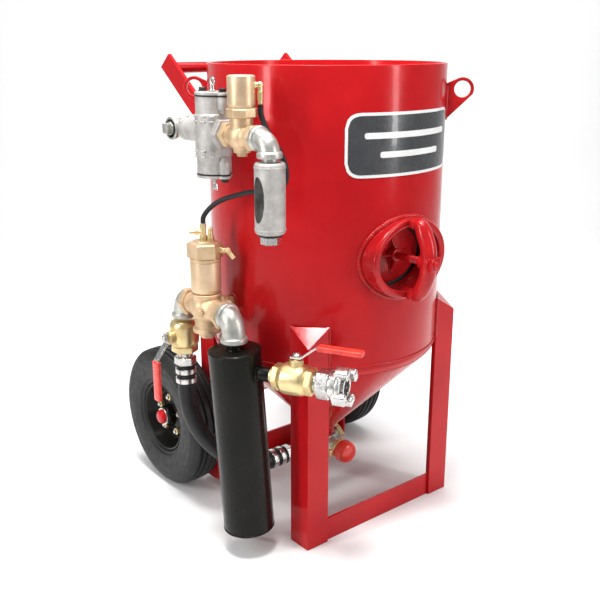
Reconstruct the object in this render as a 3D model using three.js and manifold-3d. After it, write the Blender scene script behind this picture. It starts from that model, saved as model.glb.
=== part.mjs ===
// Portable pressurised abrasive blast pot, 610 mm in diameter, on angle-iron legs and two wheels.
// Millimetres, +Z up. Inside the group the pot's own axis is X = Y = 0, the floor is Z = 0, the
// handhole faces -Y and the push handle is at +Y. The group is shifted at the end, so that its
// origin is the middle of the footprint.
import * as THREE from "three";
import { mergeVertices } from "three/addons/utils/BufferGeometryUtils.js";
import Module from "manifold-3d";

const wasm = await Module();
wasm.setup();

// ---- Driving dimensions ----
const GAP = 0.3; // clearance between touching pieces
const SHELL_R = 305;
const WALL = 6;
const SHELL_SIDES = 32; // shared, so that the facets of nested pieces line up
const WHEEL_SIDES = 20;
const RIM_Z = 1200;
const CONE_TOP_Z = 482;
const CONE_TOP_R = 290; // where the knuckle ends and the 45 degree cone starts
const OUTLET_R = 30;
const OUTLET_Z = 166;
const HEAD_SAG = 80;
const HEAD_RIM_Z = 1158;
const PORT_R = 42;
const PIPE_Z = 620; // height of the main air line

const HANDHOLE = { x: -8, z: 748, width: 205, height: 158, wall: 20, front: -328, back: -255 };

const LEG = { corner: 250, size: 68, thick: 6.4, top: 590, drop: 42 };
const FRONT_SPREAD = { x: 10, y: 8 }; // front legs stand wider apart and nearer the axis than the rear ones
const REAR_FOOT_Z = 20;
const RAIL_HEIGHT = 63;

const WHEEL = { x: 312, y: 315, r: 203, width: 100, rimR: 101 };
const AXLE_R = 12.7;

const ARM = { x: 205, thick: 10 };
const GRIP = { y: 425, z: 1180, r: 15 };
const LUG = { angles: { right: -45, left: 135 }, reach: 345, z: 1135, r: 29, hole: 20.5, thick: 12 };

const EXHAUST = { x: -375, z: 1050 };
const TEE_Y = 104;
const TRAP_Y = -37;
const OUTLET_VALVE_Y = -150;
const MUFFLER_Y = -250;

const MAIN = { x: -385, y: 0 };
const FRONT_ELBOW_Y = -115;
const REAR_ELBOW_Y = 112;
const SEPARATOR = { top: 545, length: 492, r: 64, lean: 3.3 };
const INLET = { z: 491, angle: -62, valve: 162 };
const PUSHER_VALVE_Z = 520;
const METER_Z = 140;

const PUSHER_HOSE_R = 23;
const PUSHER_HOSE_ROUTE = [
  [-385, 112, 434],
  [-385, 112, 417],
  [-385, 112, 400.4],
  [-385.1, 111.2, 366.8],
  [-385.5, 105.7, 333.6],
  [-384.3, 94.8, 301.9],
  [-379.1, 80.3, 272.1],
  [-368.7, 64.7, 244.2],
  [-353, 49.8, 218.5],
  [-332.6, 36.4, 195.5],
  [-308.1, 24.7, 175.6],
  [-280.2, 14.9, 159.7],
  [-249.6, 7.2, 148.2],
  [-217.1, 1.9, 141.7],
  [-184, 0, 140],
  [-167, 0, 140],
  [-150, 0, 140],
];
const CONTROL_HOSE_R = 6;
const CONTROL_HOSE_ROUTE = [
  [-345, -180, 1118],
  [-345, -180, 1100],
  [-340, -195, 1066],
  [-331, -222, 1028],
  [-325, -240, 992],
  [-322, -240, 962],
  [-321, -222, 938],
  [-322, -190, 926],
  [-325, -150, 922],
  [-329, -108, 915],
  [-338, -68, 903],
  [-350, -40, 893],
  [-364, -19, 880],
  [-376, -4, 863],
  [-384, 4, 846],
  [-385, 5, 832],
];

// ---- Materials ----
const finish = (color, roughness, metalness) =>
  new THREE.MeshStandardMaterial({ color, roughness, metalness });
const RED = finish(0xbe1e25, 0.25, 0);
const BLACK_PAINT = finish(0x1c1a18, 0.2, 0);
const BRONZE = finish(0xc8a56e, 0.45, 1);
const BRASS = finish(0xd7be78, 0.3, 1);
const GALVANISED = finish(0xc8c8be, 0.45, 1);
const ALUMINIUM = finish(0xcdc8c3, 0.55, 1);
const STEEL = finish(0xb4b4b0, 0.3, 1);
const RUBBER = finish(0x1a1a1a, 0.7, 0);
const TYRE = finish(0x202020, 0.8, 0);
const VINYL = finish(0xeb3c32, 0.4, 0);

// ---- Solids ----
const X = new THREE.Vector3(1, 0, 0);
const Y = new THREE.Vector3(0, 1, 0);
const Z = new THREE.Vector3(0, 0, 1);
const vec = (x, y, z) => new THREE.Vector3(x, y, z);

function toSolid(geometry) {
  const bare = geometry.clone();
  bare.deleteAttribute("normal");
  bare.deleteAttribute("uv");
  const merged = mergeVertices(bare, 1e-3);
  const vertProperties = new Float32Array(merged.attributes.position.array);
  const triVerts = new Uint32Array(merged.index.array);
  return new wasm.Manifold(new wasm.Mesh({ numProp: 3, vertProperties, triVerts }));
}

function fromSolid(solid) {
  const { vertProperties, triVerts } = solid.getMesh();
  return new THREE.BufferGeometry()
    .setAttribute("position", new THREE.BufferAttribute(vertProperties, 3))
    .setIndex(new THREE.BufferAttribute(triVerts, 1));
}

const join = (...shapes) =>
  fromSolid(shapes.map(toSolid).reduce((whole, next) => whole.add(next)));
const cut = (shape, ...tools) =>
  fromSolid(tools.map(toSolid).reduce((rest, tool) => rest.subtract(tool), toSolid(shape)));

// A shape whose axis is +Y, turned so that the axis points along a direction, from an origin.
function along(geometry, origin, direction) {
  const turn = new THREE.Quaternion().setFromUnitVectors(Y, direction.clone().normalize());
  return geometry.applyQuaternion(turn).translate(origin.x, origin.y, origin.z);
}

// Turned piece: profile points are [radius, distance along the axis from the origin].
const turned = (profile, origin, direction, sides = 14) =>
  along(
    new THREE.LatheGeometry(profile.map(([r, d]) => new THREE.Vector2(r, d)), sides),
    origin,
    direction,
  );

// Solid rod between two distances along a direction from an origin.
function rod(r, start, end, origin, direction, sides = 12) {
  const [from, to] = start < end ? [start, end] : [end, start];
  return turned([[0, from], [r, from], [r, to], [0, to]], origin, direction, sides);
}
const hex = (acrossFlats, from, to, origin, direction) =>
  rod(acrossFlats / Math.sqrt(3), from, to, origin, direction, 6);
const tube = (outer, inner, from, to, origin, direction, sides = 14) =>
  turned(
    [[inner, from], [outer, from], [outer, to], [inner, to], [inner, from]],
    origin,
    direction,
    sides,
  );

function ball(r, centre, sides = 12) {
  return new THREE.SphereGeometry(r, sides, sides / 2).translate(centre.x, centre.y, centre.z);
}

const box = (x0, x1, y0, y1, z0, z1) =>
  new THREE.BoxGeometry(x1 - x0, y1 - y0, z1 - z0).translate(
    (x0 + x1) / 2,
    (y0 + y1) / 2,
    (z0 + z1) / 2,
  );

// Plate: an outline in the plane of two directions, of one thickness, centred on an origin.
function plate(outline, holes, thick, origin, right, up, curveSegments = 8) {
  const shape = outline instanceof THREE.Shape
    ? outline
    : new THREE.Shape(outline.map(([a, b]) => new THREE.Vector2(a, b)));
  shape.holes.push(...holes);
  const normal = right.clone().cross(up);
  const place = new THREE.Matrix4().makeBasis(right, up, normal).setPosition(origin);
  return new THREE.ExtrudeGeometry(shape, { depth: thick, bevelEnabled: false, curveSegments })
    .translate(0, 0, -thick / 2)
    .applyMatrix4(place);
}

const circleHole = (x, y, r) => new THREE.Path().absarc(x, y, r, 0, 2 * Math.PI, true);

function ellipse(halfWidth, halfHeight) {
  return new THREE.Shape().absellipse(0, 0, halfWidth, halfHeight, 0, 2 * Math.PI, false);
}

// Round bar along a curve.
function bar(curve, r, sides, steps) {
  const section = new THREE.Shape().absarc(0, 0, r, 0, 2 * Math.PI, false);
  return new THREE.ExtrudeGeometry(section, {
    steps,
    bevelEnabled: false,
    extrudePath: curve,
    curveSegments: sides / 2,
  });
}

const smooth = (route) => new THREE.CatmullRomCurve3(route.map((p) => vec(...p)), false, "centripetal");

// Pipe elbow from one direction to another round a corner, with a bead at each end.
function elbow(corner, inward, outward, reachIn, reachOut, r) {
  const start = corner.clone().addScaledVector(inward, reachIn - 7);
  const end = corner.clone().addScaledVector(outward, reachOut - 7);
  const bend = new THREE.QuadraticBezierCurve3(start, corner, end);
  return join(
    bar(bend, r, 10, 6),
    rod(r + 5, reachIn - 10, reachIn, corner, inward),
    rod(r + 5, reachOut - 11, reachOut, corner, outward),
  );
}

// ---- The assembly ----
const pot = new THREE.Group();
function add(name, geometry, material) {
  const mesh = new THREE.Mesh(geometry, material);
  mesh.name = name;
  pot.add(mesh);
  return mesh;
}

// What stands on the shell is cut back to it.
const shellKeepOut = () => rod(SHELL_R + GAP, 400, 1190, vec(0, 0, 0), Z, SHELL_SIDES);

// Vessel: shell, concave filling head, cone, filling port and the air pipe inside.
const handholeAxis = vec(HANDHOLE.x, 0, HANDHOLE.z);
function ovalPrism(halfWidth, halfHeight, front, back) {
  const middle = vec(HANDHOLE.x, (front + back) / 2, HANDHOLE.z);
  return plate(ellipse(halfWidth, halfHeight), [], back - front, middle, X, Z, 12);
}
const collarHalfWidth = HANDHOLE.width / 2 + HANDHOLE.wall;
const collarHalfHeight = HANDHOLE.height / 2 + HANDHOLE.wall;

add(
  "vessel_shell",
  cut(
    tube(SHELL_R, SHELL_R - WALL, CONE_TOP_Z + GAP, RIM_Z, vec(0, 0, 0), Z, SHELL_SIDES),
    ovalPrism(collarHalfWidth + GAP, collarHalfHeight + GAP, -400, -200),
  ),
  RED,
);

const headR = SHELL_R - WALL - GAP;
const headSphere = (headR ** 2 + HEAD_SAG ** 2) / (2 * HEAD_SAG);
const headZ = (r) => HEAD_RIM_Z - HEAD_SAG + headSphere - Math.sqrt(headSphere ** 2 - r ** 2);
const headRadii = [PORT_R, 140, 225, headR];
add(
  "top_head",
  turned(
    [
      ...headRadii.map((r) => [r, headZ(r) - WALL]),
      ...headRadii.toReversed().map((r) => [r, headZ(r)]),
      [PORT_R, headZ(PORT_R) - WALL],
    ],
    vec(0, 0, 0),
    Z,
    SHELL_SIDES,
  ),
  RED,
);

const portZ = headZ(PORT_R);
const seatInnerR = 30;
add(
  "fill_port_seat",
  tube(PORT_R - 1, seatInnerR, portZ - 10, portZ + 4, vec(0, 0, 0), Z, 20),
  RUBBER,
);

const coneBottomZ = CONE_TOP_Z - 32 - (CONE_TOP_R - OUTLET_R);
add(
  "bottom_cone",
  turned(
    [
      [OUTLET_R - WALL, OUTLET_Z],
      [OUTLET_R, OUTLET_Z],
      [OUTLET_R, coneBottomZ],
      [CONE_TOP_R, CONE_TOP_Z - 32],
      [300, CONE_TOP_Z - 21],
      [SHELL_R, CONE_TOP_Z - 10],
      [SHELL_R, CONE_TOP_Z],
      [SHELL_R - WALL, CONE_TOP_Z],
      [SHELL_R - WALL, CONE_TOP_Z - 9],
      [CONE_TOP_R - 5, CONE_TOP_Z - 28],
      [OUTLET_R - WALL, coneBottomZ + 3],
      [OUTLET_R - WALL, OUTLET_Z],
    ],
    vec(0, 0, 0),
    Z,
    SHELL_SIDES,
  ),
  RED,
);

// The pop-up valve drops when the pot has no pressure and rises against the seat in use.
const popupZ = portZ - 14; // tip of the cone at rest
const popupTravelTop = popupZ - 36;
add(
  "popup_valve",
  turned(
    [
      [0, popupTravelTop - 110],
      [10, popupTravelTop - 110],
      [10, popupTravelTop - 14],
      [38, popupTravelTop - 12],
      [38, popupTravelTop - 4],
      [0, popupZ],
    ],
    vec(0, 0, 0),
    Z,
    12,
  ),
  RUBBER,
);

const innerPipeR = 21;
const pipeCorner = vec(0, 0, PIPE_Z);
const pipeTopZ = popupTravelTop - 14 - 22;
function innerPipe(r, extra) {
  const bend = new THREE.QuadraticBezierCurve3(
    vec(-60, 0, PIPE_Z),
    pipeCorner,
    vec(0, 0, PIPE_Z + 60),
  );
  return join(
    rod(r, -(SHELL_R - WALL - 3) - extra, -59.9, pipeCorner, X, 12),
    bar(bend, r, 12, 5),
    rod(r, 59.9, pipeTopZ - PIPE_Z + extra, pipeCorner, Z, 12),
  );
}
add("air_inlet_pipe", cut(innerPipe(innerPipeR, 0), innerPipe(innerPipeR - 6, 1)), GALVANISED);

// Handhole: collar through the shell, cover pulled against its inner end by a bolt and a yoke.
add(
  "handhole_collar",
  cut(
    ovalPrism(collarHalfWidth, collarHalfHeight, HANDHOLE.front, HANDHOLE.back),
    ovalPrism(HANDHOLE.width / 2, HANDHOLE.height / 2, -400, -200),
  ),
  RED,
);
const gasketBack = HANDHOLE.back + GAP + 3;
add(
  "handhole_gasket",
  cut(
    ovalPrism(collarHalfWidth - 7, collarHalfHeight - 7, HANDHOLE.back + GAP, gasketBack),
    ovalPrism(HANDHOLE.width / 2 - 5, HANDHOLE.height / 2 - 5, -400, -200),
  ),
  RUBBER,
);
const coverFront = gasketBack + GAP;
const boltTipY = -412;
const gusset = (direction) =>
  plate(
    [[8, 1], [58, 1], [14, -26], [8, -26]],
    [],
    7,
    vec(HANDHOLE.x, coverFront, HANDHOLE.z),
    direction,
    Y,
  );
const coverCentre = vec(HANDHOLE.x, coverFront, HANDHOLE.z);
add(
  "handhole_cover",
  join(
    ovalPrism(collarHalfWidth - 6, collarHalfHeight - 6, coverFront, coverFront + 11),
    ovalPrism(HANDHOLE.width / 2 - 9, HANDHOLE.height / 2 - 9, coverFront - 6, coverFront + 1),
    rod(9.5, coverFront - 1, boltTipY, vec(HANDHOLE.x, 0, HANDHOLE.z), Y, 10),
    rod(17, -28, 1, coverCentre, Y, 10),
    gusset(X),
    gusset(X.clone().negate()),
    gusset(Z),
    gusset(Z.clone().negate()),
  ),
  RED,
);

// Arched yoke: a bar bent over the bolt, flattened in the middle, its feet on the collar's face.
const yokeFoot = 88;
const yokeTopY = -385;
const yokeCurve = new THREE.CatmullRomCurve3(
  [
    [yokeFoot, HANDHOLE.front - 15],
    [yokeFoot - 6, HANDHOLE.front - 26],
    [62, yokeTopY + 18],
    [34, yokeTopY + 6],
    [0, yokeTopY + 3],
    [-34, yokeTopY + 6],
    [-62, yokeTopY + 18],
    [-(yokeFoot - 6), HANDHOLE.front - 26],
    [-yokeFoot, HANDHOLE.front - 15],
  ].map(([z, y]) => vec(HANDHOLE.x, y, HANDHOLE.z + z)),
);
const yokeR = 17;
const yokeFootBlock = (side) =>
  box(
    HANDHOLE.x - 16,
    HANDHOLE.x + 16,
    HANDHOLE.front - 18,
    HANDHOLE.front - GAP,
    HANDHOLE.z + side * yokeFoot - 10,
    HANDHOLE.z + side * yokeFoot + 10,
  );
add(
  "handhole_yoke",
  cut(
    join(bar(yokeCurve, yokeR, 8, 12), yokeFootBlock(1), yokeFootBlock(-1)),
    rod(11, -450, -300, vec(HANDHOLE.x, 0, HANDHOLE.z), Y, 12),
    box(HANDHOLE.x - 40, HANDHOLE.x + 40, -430, yokeTopY - 9, HANDHOLE.z - 24, HANDHOLE.z + 24),
  ),
  RED,
);
add(
  "handhole_nut",
  cut(
    join(
      hex(32, yokeTopY - 9 - GAP, yokeTopY - 22, vec(HANDHOLE.x, 0, HANDHOLE.z), Y),
      rod(22, yokeTopY - 9 - GAP, yokeTopY - 13, vec(HANDHOLE.x, 0, HANDHOLE.z), Y),
    ),
    rod(10.2, -450, -300, vec(HANDHOLE.x, 0, HANDHOLE.z), Y, 12),
  ),
  RED,
);

// Legs: angle irons standing corner outwards, with a sloping closed top.
function angleLeg(sx, sy, bottom, extra) {
  const c = LEG.corner;
  const inner = c - LEG.size;
  const section = (a, b) => [sx * a, sy * b];
  const iron = plate(
    [
      section(c, c),
      section(inner, c),
      section(inner, c - LEG.thick),
      section(c - LEG.thick, c - LEG.thick),
      section(c - LEG.thick, inner),
      section(c, inner),
    ],
    [],
    LEG.top - bottom,
    vec(0, 0, (LEG.top + bottom) / 2),
    X,
    Y,
  );
  const cap = plate(
    [
      section(c - 2, c - 2),
      section(inner + 4, c - 2),
      section(c - 2, inner + 4),
    ],
    [],
    LEG.drop + 10,
    vec(0, 0, LEG.top - (LEG.drop + 10) / 2),
    X,
    Y,
  );
  const outward = vec(sx, sy, 0).normalize();
  const far = c * Math.SQRT2;
  const near = far - LEG.size / Math.SQRT2;
  const slope = plate(
    [[near - 60, LEG.top + 52], [near, LEG.top], [far, LEG.top - LEG.drop],
      [far + 40, LEG.top - LEG.drop], [far + 40, LEG.top + 52]],
    [],
    300,
    vec(0, 0, 0),
    outward,
    Z,
  );
  const under = plate(
    [[near - 60, LEG.top - 8], [near, LEG.top - 8], [far - 9, LEG.top - LEG.drop - 8],
      [far - 9, LEG.top - 90], [near - 60, LEG.top - 90]],
    [],
    2 * (LEG.size - LEG.thick) - 40,
    vec(0, 0, 0),
    outward,
    Z,
  );
  return cut(join(iron, cut(cap, under), ...extra), slope);
}
const bracket = (sx) =>
  plate(
    [
      [LEG.corner - 20, 150],
      [LEG.corner - 20, 300],
      [LEG.corner + 20, 300],
      [345, 228],
      [345, 178],
      [318, 150],
    ],
    [],
    LEG.thick,
    vec(sx * (LEG.corner - LEG.thick / 2), 0, 0),
    Y,
    Z,
  );
const axleBore = rod(AXLE_R + GAP, -400, 400, vec(0, WHEEL.y, WHEEL.r), X, 16);
for (const [side, sx] of [["left", -1], ["right", 1]]) {
  const frontLeg = angleLeg(sx, -1, 0, []).translate(sx * FRONT_SPREAD.x, FRONT_SPREAD.y, 0);
  add(`${side}_front_leg`, cut(frontLeg, shellKeepOut()), RED);
  add(
    `${side}_rear_leg`,
    cut(angleLeg(sx, 1, REAR_FOOT_Z, [bracket(sx)]), shellKeepOut(), axleBore),
    RED,
  );
}
function footRail(sy, bottom, spread) {
  const outer = LEG.corner - LEG.thick - GAP;
  const halfLength = LEG.corner + spread.x - LEG.thick - GAP;
  return plate(
    [
      [sy * outer, bottom],
      [sy * outer, bottom + RAIL_HEIGHT],
      [sy * (outer - LEG.thick), bottom + RAIL_HEIGHT],
      [sy * (outer - LEG.thick), bottom + LEG.thick],
      [sy * (outer - 50), bottom + LEG.thick],
      [sy * (outer - 50), bottom],
    ],
    [],
    2 * halfLength,
    vec(0, spread.y, 0),
    Y,
    Z,
  );
}
add("front_foot_rail", footRail(-1, 0, FRONT_SPREAD), RED);
add("rear_foot_rail", footRail(1, REAR_FOOT_Z, { x: 0, y: 0 }), RED);
add("axle", rod(AXLE_R, -356, 356, vec(0, WHEEL.y, WHEEL.r), X, 16), STEEL);

// Push handle and lifting lugs.
for (const [side, sx] of [["left", -1], ["right", 1]])
  add(
    `${side}_handle_arm`,
    plate(
      [[428, 1217], [470, 1181], [315, 1060], [231.5, 1060], [231.5, 1102], [284, 1105]],
      [],
      ARM.thick,
      vec(sx * ARM.x, 0, 0),
      Y,
      Z,
    ),
    RED,
  );
const gripEnd = ARM.x - ARM.thick / 2 - GAP;
add("handle_grip", rod(GRIP.r, -gripEnd, gripEnd, vec(0, GRIP.y, GRIP.z), X), RED);

for (const [side, degrees] of Object.entries(LUG.angles)) {
  const angle = THREE.MathUtils.degToRad(degrees);
  const outward = vec(Math.cos(angle), Math.sin(angle), 0);
  const eye = new THREE.Shape();
  eye.moveTo(SHELL_R + GAP, LUG.z + 14);
  eye.lineTo(SHELL_R + GAP, LUG.z - 77);
  eye.absarc(LUG.reach, LUG.z, LUG.r, -0.45, 2.1, false);
  const hole = circleHole(LUG.reach, LUG.z, LUG.hole);
  add(`${side}_lifting_lug`, plate(eye, [hole], LUG.thick, vec(0, 0, 0), outward, Z), RED);
}

// Wheels: pneumatic tyre on a pressed rim with a hub, wheel nuts and a cap.
for (const [side, sx] of [["left", -1], ["right", 1]]) {
  const centre = vec(sx * WHEEL.x, WHEEL.y, WHEEL.r);
  const outward = vec(sx, 0, 0);
  const half = WHEEL.width / 2;
  const r = WHEEL.r;
  add(
    `${side}_tyre`,
    turned(
      [
        [WHEEL.rimR + 1, -34],
        [WHEEL.rimR + 16, -44],
        [r - 46, -half],
        [r - 16, -half + 5],
        [r - 3, -half + 20],
        [r, 0],
        [r - 3, half - 20],
        [r - 16, half - 5],
        [r - 46, half],
        [WHEEL.rimR + 16, 44],
        [WHEEL.rimR + 1, 34],
        [WHEEL.rimR + 1, -34],
      ],
      centre,
      outward,
      WHEEL_SIDES,
    ),
    TYRE,
  );
  const rim = turned(
    [
      [AXLE_R + GAP, -38],
      [28, -38],
      [28, -6],
      [70, -10],
      [WHEEL.rimR - 8, -34],
      [WHEEL.rimR + 1 - GAP, -33],
      [WHEEL.rimR + 1 - GAP, 33],
      [WHEEL.rimR - 6, 36],
      [WHEEL.rimR - 14, 20],
      [70, -2],
      [30, 4],
      [30, 40],
      [AXLE_R + GAP, 40],
      [AXLE_R + GAP, -38],
    ],
    centre,
    outward,
    WHEEL_SIDES,
  );
  const nuts = [0, 1, 2, 3, 4].map((k) => {
    const a = (2 * Math.PI * k) / 5;
    const at = centre.clone().add(vec(0, 54 * Math.cos(a), 54 * Math.sin(a)));
    return hex(19, -4, 16, at, outward);
  });
  add(`${side}_wheel_rim`, join(rim, ...nuts), BLACK_PAINT);
}

// Exhaust line: tee on a nipple from the vessel, abrasive trap, outlet valve, elbow, muffler.
const onExhaust = (y, z = EXHAUST.z) => vec(EXHAUST.x, y, z);
const NEG_X = X.clone().negate();
const NEG_Y = Y.clone().negate();
const NEG_Z = Z.clone().negate();
const teeReach = 30;
add(
  "exhaust_tee",
  cut(
    join(
      rod(23, -teeReach, teeReach, onExhaust(TEE_Y), X),
      rod(27, teeReach - 9, teeReach, onExhaust(TEE_Y), X),
      rod(27, teeReach - 9, teeReach, onExhaust(TEE_Y), NEG_X),
      rod(23, 0, teeReach, onExhaust(TEE_Y), NEG_Y),
      rod(27, teeReach - 9, teeReach, onExhaust(TEE_Y), NEG_Y),
      rod(17, 0, -EXHAUST.x - 270, onExhaust(TEE_Y), X),
      rod(14, 0, teeReach + 4, onExhaust(TEE_Y), NEG_X),
      hex(28, teeReach + 2, teeReach + 16, onExhaust(TEE_Y), NEG_X),
    ),
    shellKeepOut(),
  ),
  GALVANISED,
);

const trapBottomZ = 957;
const trapTopZ = 1132;
const earAt = [-1, 1].map((side) => onExhaust(TRAP_Y + side * 41.3, 0));
add(
  "trap_body",
  join(
    rod(40, trapBottomZ, trapTopZ, onExhaust(TRAP_Y, 0), Z, 16),
    ...earAt.map((at) => rod(13, trapTopZ - 34, trapTopZ - 0.4, at, Z, 8)),
    ...earAt.map((at) => rod(13, trapBottomZ + 0.4, trapBottomZ + 34, at, Z, 8)),
    rod(27, -42, TEE_Y - teeReach - GAP - TRAP_Y, onExhaust(TRAP_Y), Y),
    hex(66, 37, 56, onExhaust(TRAP_Y), NEG_Y),
  ),
  ALUMINIUM,
);
function trapCover(faceZ, outward) {
  const face = vec(0, 0, faceZ);
  const at = (p) => p.clone().add(face);
  const cover = join(
    rod(41, GAP, 9, at(onExhaust(TRAP_Y, 0)), outward, 16),
    ...earAt.map((p) => rod(14, GAP, 9, at(p), outward, 8)),
    ...earAt.map((p) => hex(16, 8, 18, at(p), outward)),
  );
  return cut(cover, rod(5.5, -1, 30, at(onExhaust(TRAP_Y, 0)), outward, 8));
}
add("trap_top_cover", trapCover(trapTopZ, Z), STEEL);
add("trap_bottom_cover", trapCover(trapBottomZ, NEG_Z), STEEL);
function thumbScrew(faceZ, outward) {
  const start = onExhaust(TRAP_Y, faceZ);
  const end = start.clone().addScaledVector(outward, 32);
  const wing = plate([[-7, -9], [7, -9], [11, 9], [-11, 9]], [], 4, end, Y, Z);
  const paddle = outward.z > 0 ? wing : wing.rotateX(Math.PI).translate(0, 2 * end.y, 2 * end.z);
  return join(
    rod(5, GAP, 30, start, outward, 8),
    rod(8, 9 + GAP, 14, start, outward, 8),
    paddle,
  );
}
add("trap_top_screw", thumbScrew(trapTopZ, Z), STEEL);
add("trap_bottom_screw", thumbScrew(trapBottomZ, NEG_Z), STEEL);

const valveStartY = TRAP_Y - 56 - GAP;
const outletNeckZ = 1112;
add(
  "outlet_valve_body",
  join(
    hex(54, 0, 20, vec(EXHAUST.x, valveStartY, EXHAUST.z), NEG_Y),
    rod(25, 0, 112, vec(EXHAUST.x, valveStartY, EXHAUST.z), NEG_Y),
    ball(33, onExhaust(OUTLET_VALVE_Y), 14),
    hex(54, 94, 113, vec(EXHAUST.x, valveStartY, EXHAUST.z), NEG_Y),
    rod(26, 0, outletNeckZ - EXHAUST.z, onExhaust(OUTLET_VALVE_Y), Z),
    hex(68, outletNeckZ - EXHAUST.z - 22, outletNeckZ - EXHAUST.z, onExhaust(OUTLET_VALVE_Y), Z),
    rod(20, 0, 36, onExhaust(OUTLET_VALVE_Y), NEG_Z),
    hex(22, 34, 44, onExhaust(OUTLET_VALVE_Y), NEG_Z),
  ),
  BRONZE,
);
const controlStart = vec(...CONTROL_HOSE_ROUTE[0]);
const fittingCorner = vec(controlStart.x + 1, controlStart.y + 3, 1160);
const fittingBoss = onExhaust(OUTLET_VALVE_Y, 1160);
const bossDirection = fittingCorner.clone().sub(fittingBoss);
add(
  "outlet_valve_cylinder",
  join(
    rod(29, outletNeckZ + GAP, 1179, onExhaust(OUTLET_VALVE_Y, 0), Z, 16),
    rod(6, 0, bossDirection.length(), fittingBoss, bossDirection, 8),
    ball(7.5, fittingCorner, 8),
    rod(6, 0, 1160 - controlStart.z - 1, fittingCorner, NEG_Z, 8),
    hex(13, 14, 32, fittingCorner, NEG_Z),
  ),
  BRONZE,
);
add(
  "exhaust_elbow",
  join(
    elbow(onExhaust(MUFFLER_Y), Y, NEG_Z, -MUFFLER_Y + valveStartY - 113 - GAP, 38, 23),
    rod(17, 36, 46, onExhaust(MUFFLER_Y), NEG_Z),
  ),
  GALVANISED,
);
const mufflerTop = EXHAUST.z - 46 - GAP;
const mufflerBottom = 847;
add(
  "muffler_body",
  turned(
    [
      [0, mufflerBottom],
      [29, mufflerBottom],
      [34, mufflerBottom + 4],
      [34, mufflerTop - 4],
      [30, mufflerTop],
      [0, mufflerTop],
    ],
    onExhaust(MUFFLER_Y, 0),
    Z,
    16,
  ),
  ALUMINIUM,
);
add(
  "muffler_plug",
  join(
    rod(27, mufflerBottom - 4, mufflerBottom - GAP, onExhaust(MUFFLER_Y, 0), Z),
    hex(40, mufflerBottom - 23, mufflerBottom - 3, onExhaust(MUFFLER_Y, 0), Z),
  ),
  GALVANISED,
);

// Main air line: front elbow from the separator, inlet valve, nipple to the vessel, rear elbow.
const onMain = (y, z = PIPE_Z) => vec(MAIN.x, y, z);
const portHalf = 84;
add(
  "main_valve_body",
  join(
    rod(27, -portHalf, portHalf, onMain(MAIN.y), Y),
    ball(40, onMain(MAIN.y), 16),
    hex(58, portHalf - 18, portHalf, onMain(MAIN.y), Y),
    hex(58, portHalf - 18, portHalf, onMain(MAIN.y), NEG_Y),
    hex(48, 0, 44, onMain(MAIN.y), X),
    rod(36, 0, 40, onMain(MAIN.y), Z, 16),
    rod(31, 0, 62, onMain(MAIN.y), NEG_Z),
    rod(36, 50, 60, onMain(MAIN.y), NEG_Z),
    hex(36, 60, 76, onMain(MAIN.y), NEG_Z),
  ),
  BRONZE,
);
const cylinderTopZ = 740;
add(
  "main_valve_cylinder",
  turned(
    [
      [0, PIPE_Z + 40 + GAP],
      [33, PIPE_Z + 40 + GAP],
      [37, PIPE_Z + 48],
      [37, cylinderTopZ],
      [0, cylinderTopZ],
    ],
    onMain(MAIN.y, 0),
    Z,
    16,
  ),
  BRONZE,
);
const controlEnd = vec(...CONTROL_HOSE_ROUTE.at(-1));
const capTopZ = 790;
const capSide = vec(0.62, -0.78, 0).normalize();
const bleedEnd = onMain(MAIN.y, 768).addScaledVector(capSide, 58);
add(
  "main_valve_cap",
  join(
    hex(78, cylinderTopZ + GAP, capTopZ, onMain(MAIN.y, 0), Z),
    rod(7, capTopZ - 2, controlEnd.z - 1, vec(controlEnd.x, controlEnd.y, 0), Z, 12),
    hex(17, capTopZ - 1, capTopZ + 12, vec(controlEnd.x, controlEnd.y, 0), Z),
    rod(4.5, 0, 34, vec(controlEnd.x, controlEnd.y, capTopZ + 20), vec(-0.8, 0.6, 0), 10),
    rod(6, 30, 58, onMain(MAIN.y, 768), capSide, 10),
    ball(7.5, bleedEnd, 10),
    rod(5.5, 0, 24, bleedEnd, vec(0.5, -0.4, -0.9), 10),
  ),
  BRASS,
);
const nippleStart = -MAIN.x - 44 - GAP;
add(
  "main_valve_nipple",
  cut(
    join(
      hex(42, -nippleStart, -nippleStart + 16, vec(0, 0, PIPE_Z), X),
      rod(16, -nippleStart, -290, vec(0, 0, PIPE_Z), X),
    ),
    shellKeepOut(),
  ),
  BRASS,
);
add(
  "separator_elbow",
  elbow(onMain(FRONT_ELBOW_Y), Y, NEG_Z, -FRONT_ELBOW_Y - portHalf - GAP, 58, 28),
  GALVANISED,
);
add(
  "pusher_elbow",
  elbow(onMain(REAR_ELBOW_Y), NEG_Y, NEG_Z, REAR_ELBOW_Y - portHalf - GAP, 50, 25),
  GALVANISED,
);

// Moisture separator: hangs a little out of plumb below the front elbow.
const inletAngle = THREE.MathUtils.degToRad(INLET.angle);
const inletDirection = vec(Math.cos(inletAngle), Math.sin(inletAngle), 0);
const separatorTop = onMain(FRONT_ELBOW_Y, SEPARATOR.top);
const lean = THREE.MathUtils.degToRad(SEPARATOR.lean);
const hang = vec(0.775 * Math.sin(lean), -0.632 * Math.sin(lean), -Math.cos(lean));
add(
  "separator_tank",
  join(
    turned(
      [
        [0, -13],
        [17, -13],
        [17, 0],
        [SEPARATOR.r - 3, 0],
        [SEPARATOR.r, 3],
        [SEPARATOR.r, SEPARATOR.length - 14],
        [SEPARATOR.r - 22, SEPARATOR.length - 3],
        [0, SEPARATOR.length],
      ],
      separatorTop,
      hang,
      20,
    ),
    rod(18, 50, INLET.valve - 68, onMain(FRONT_ELBOW_Y, INLET.z), inletDirection),
  ),
  BLACK_PAINT,
);

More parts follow.
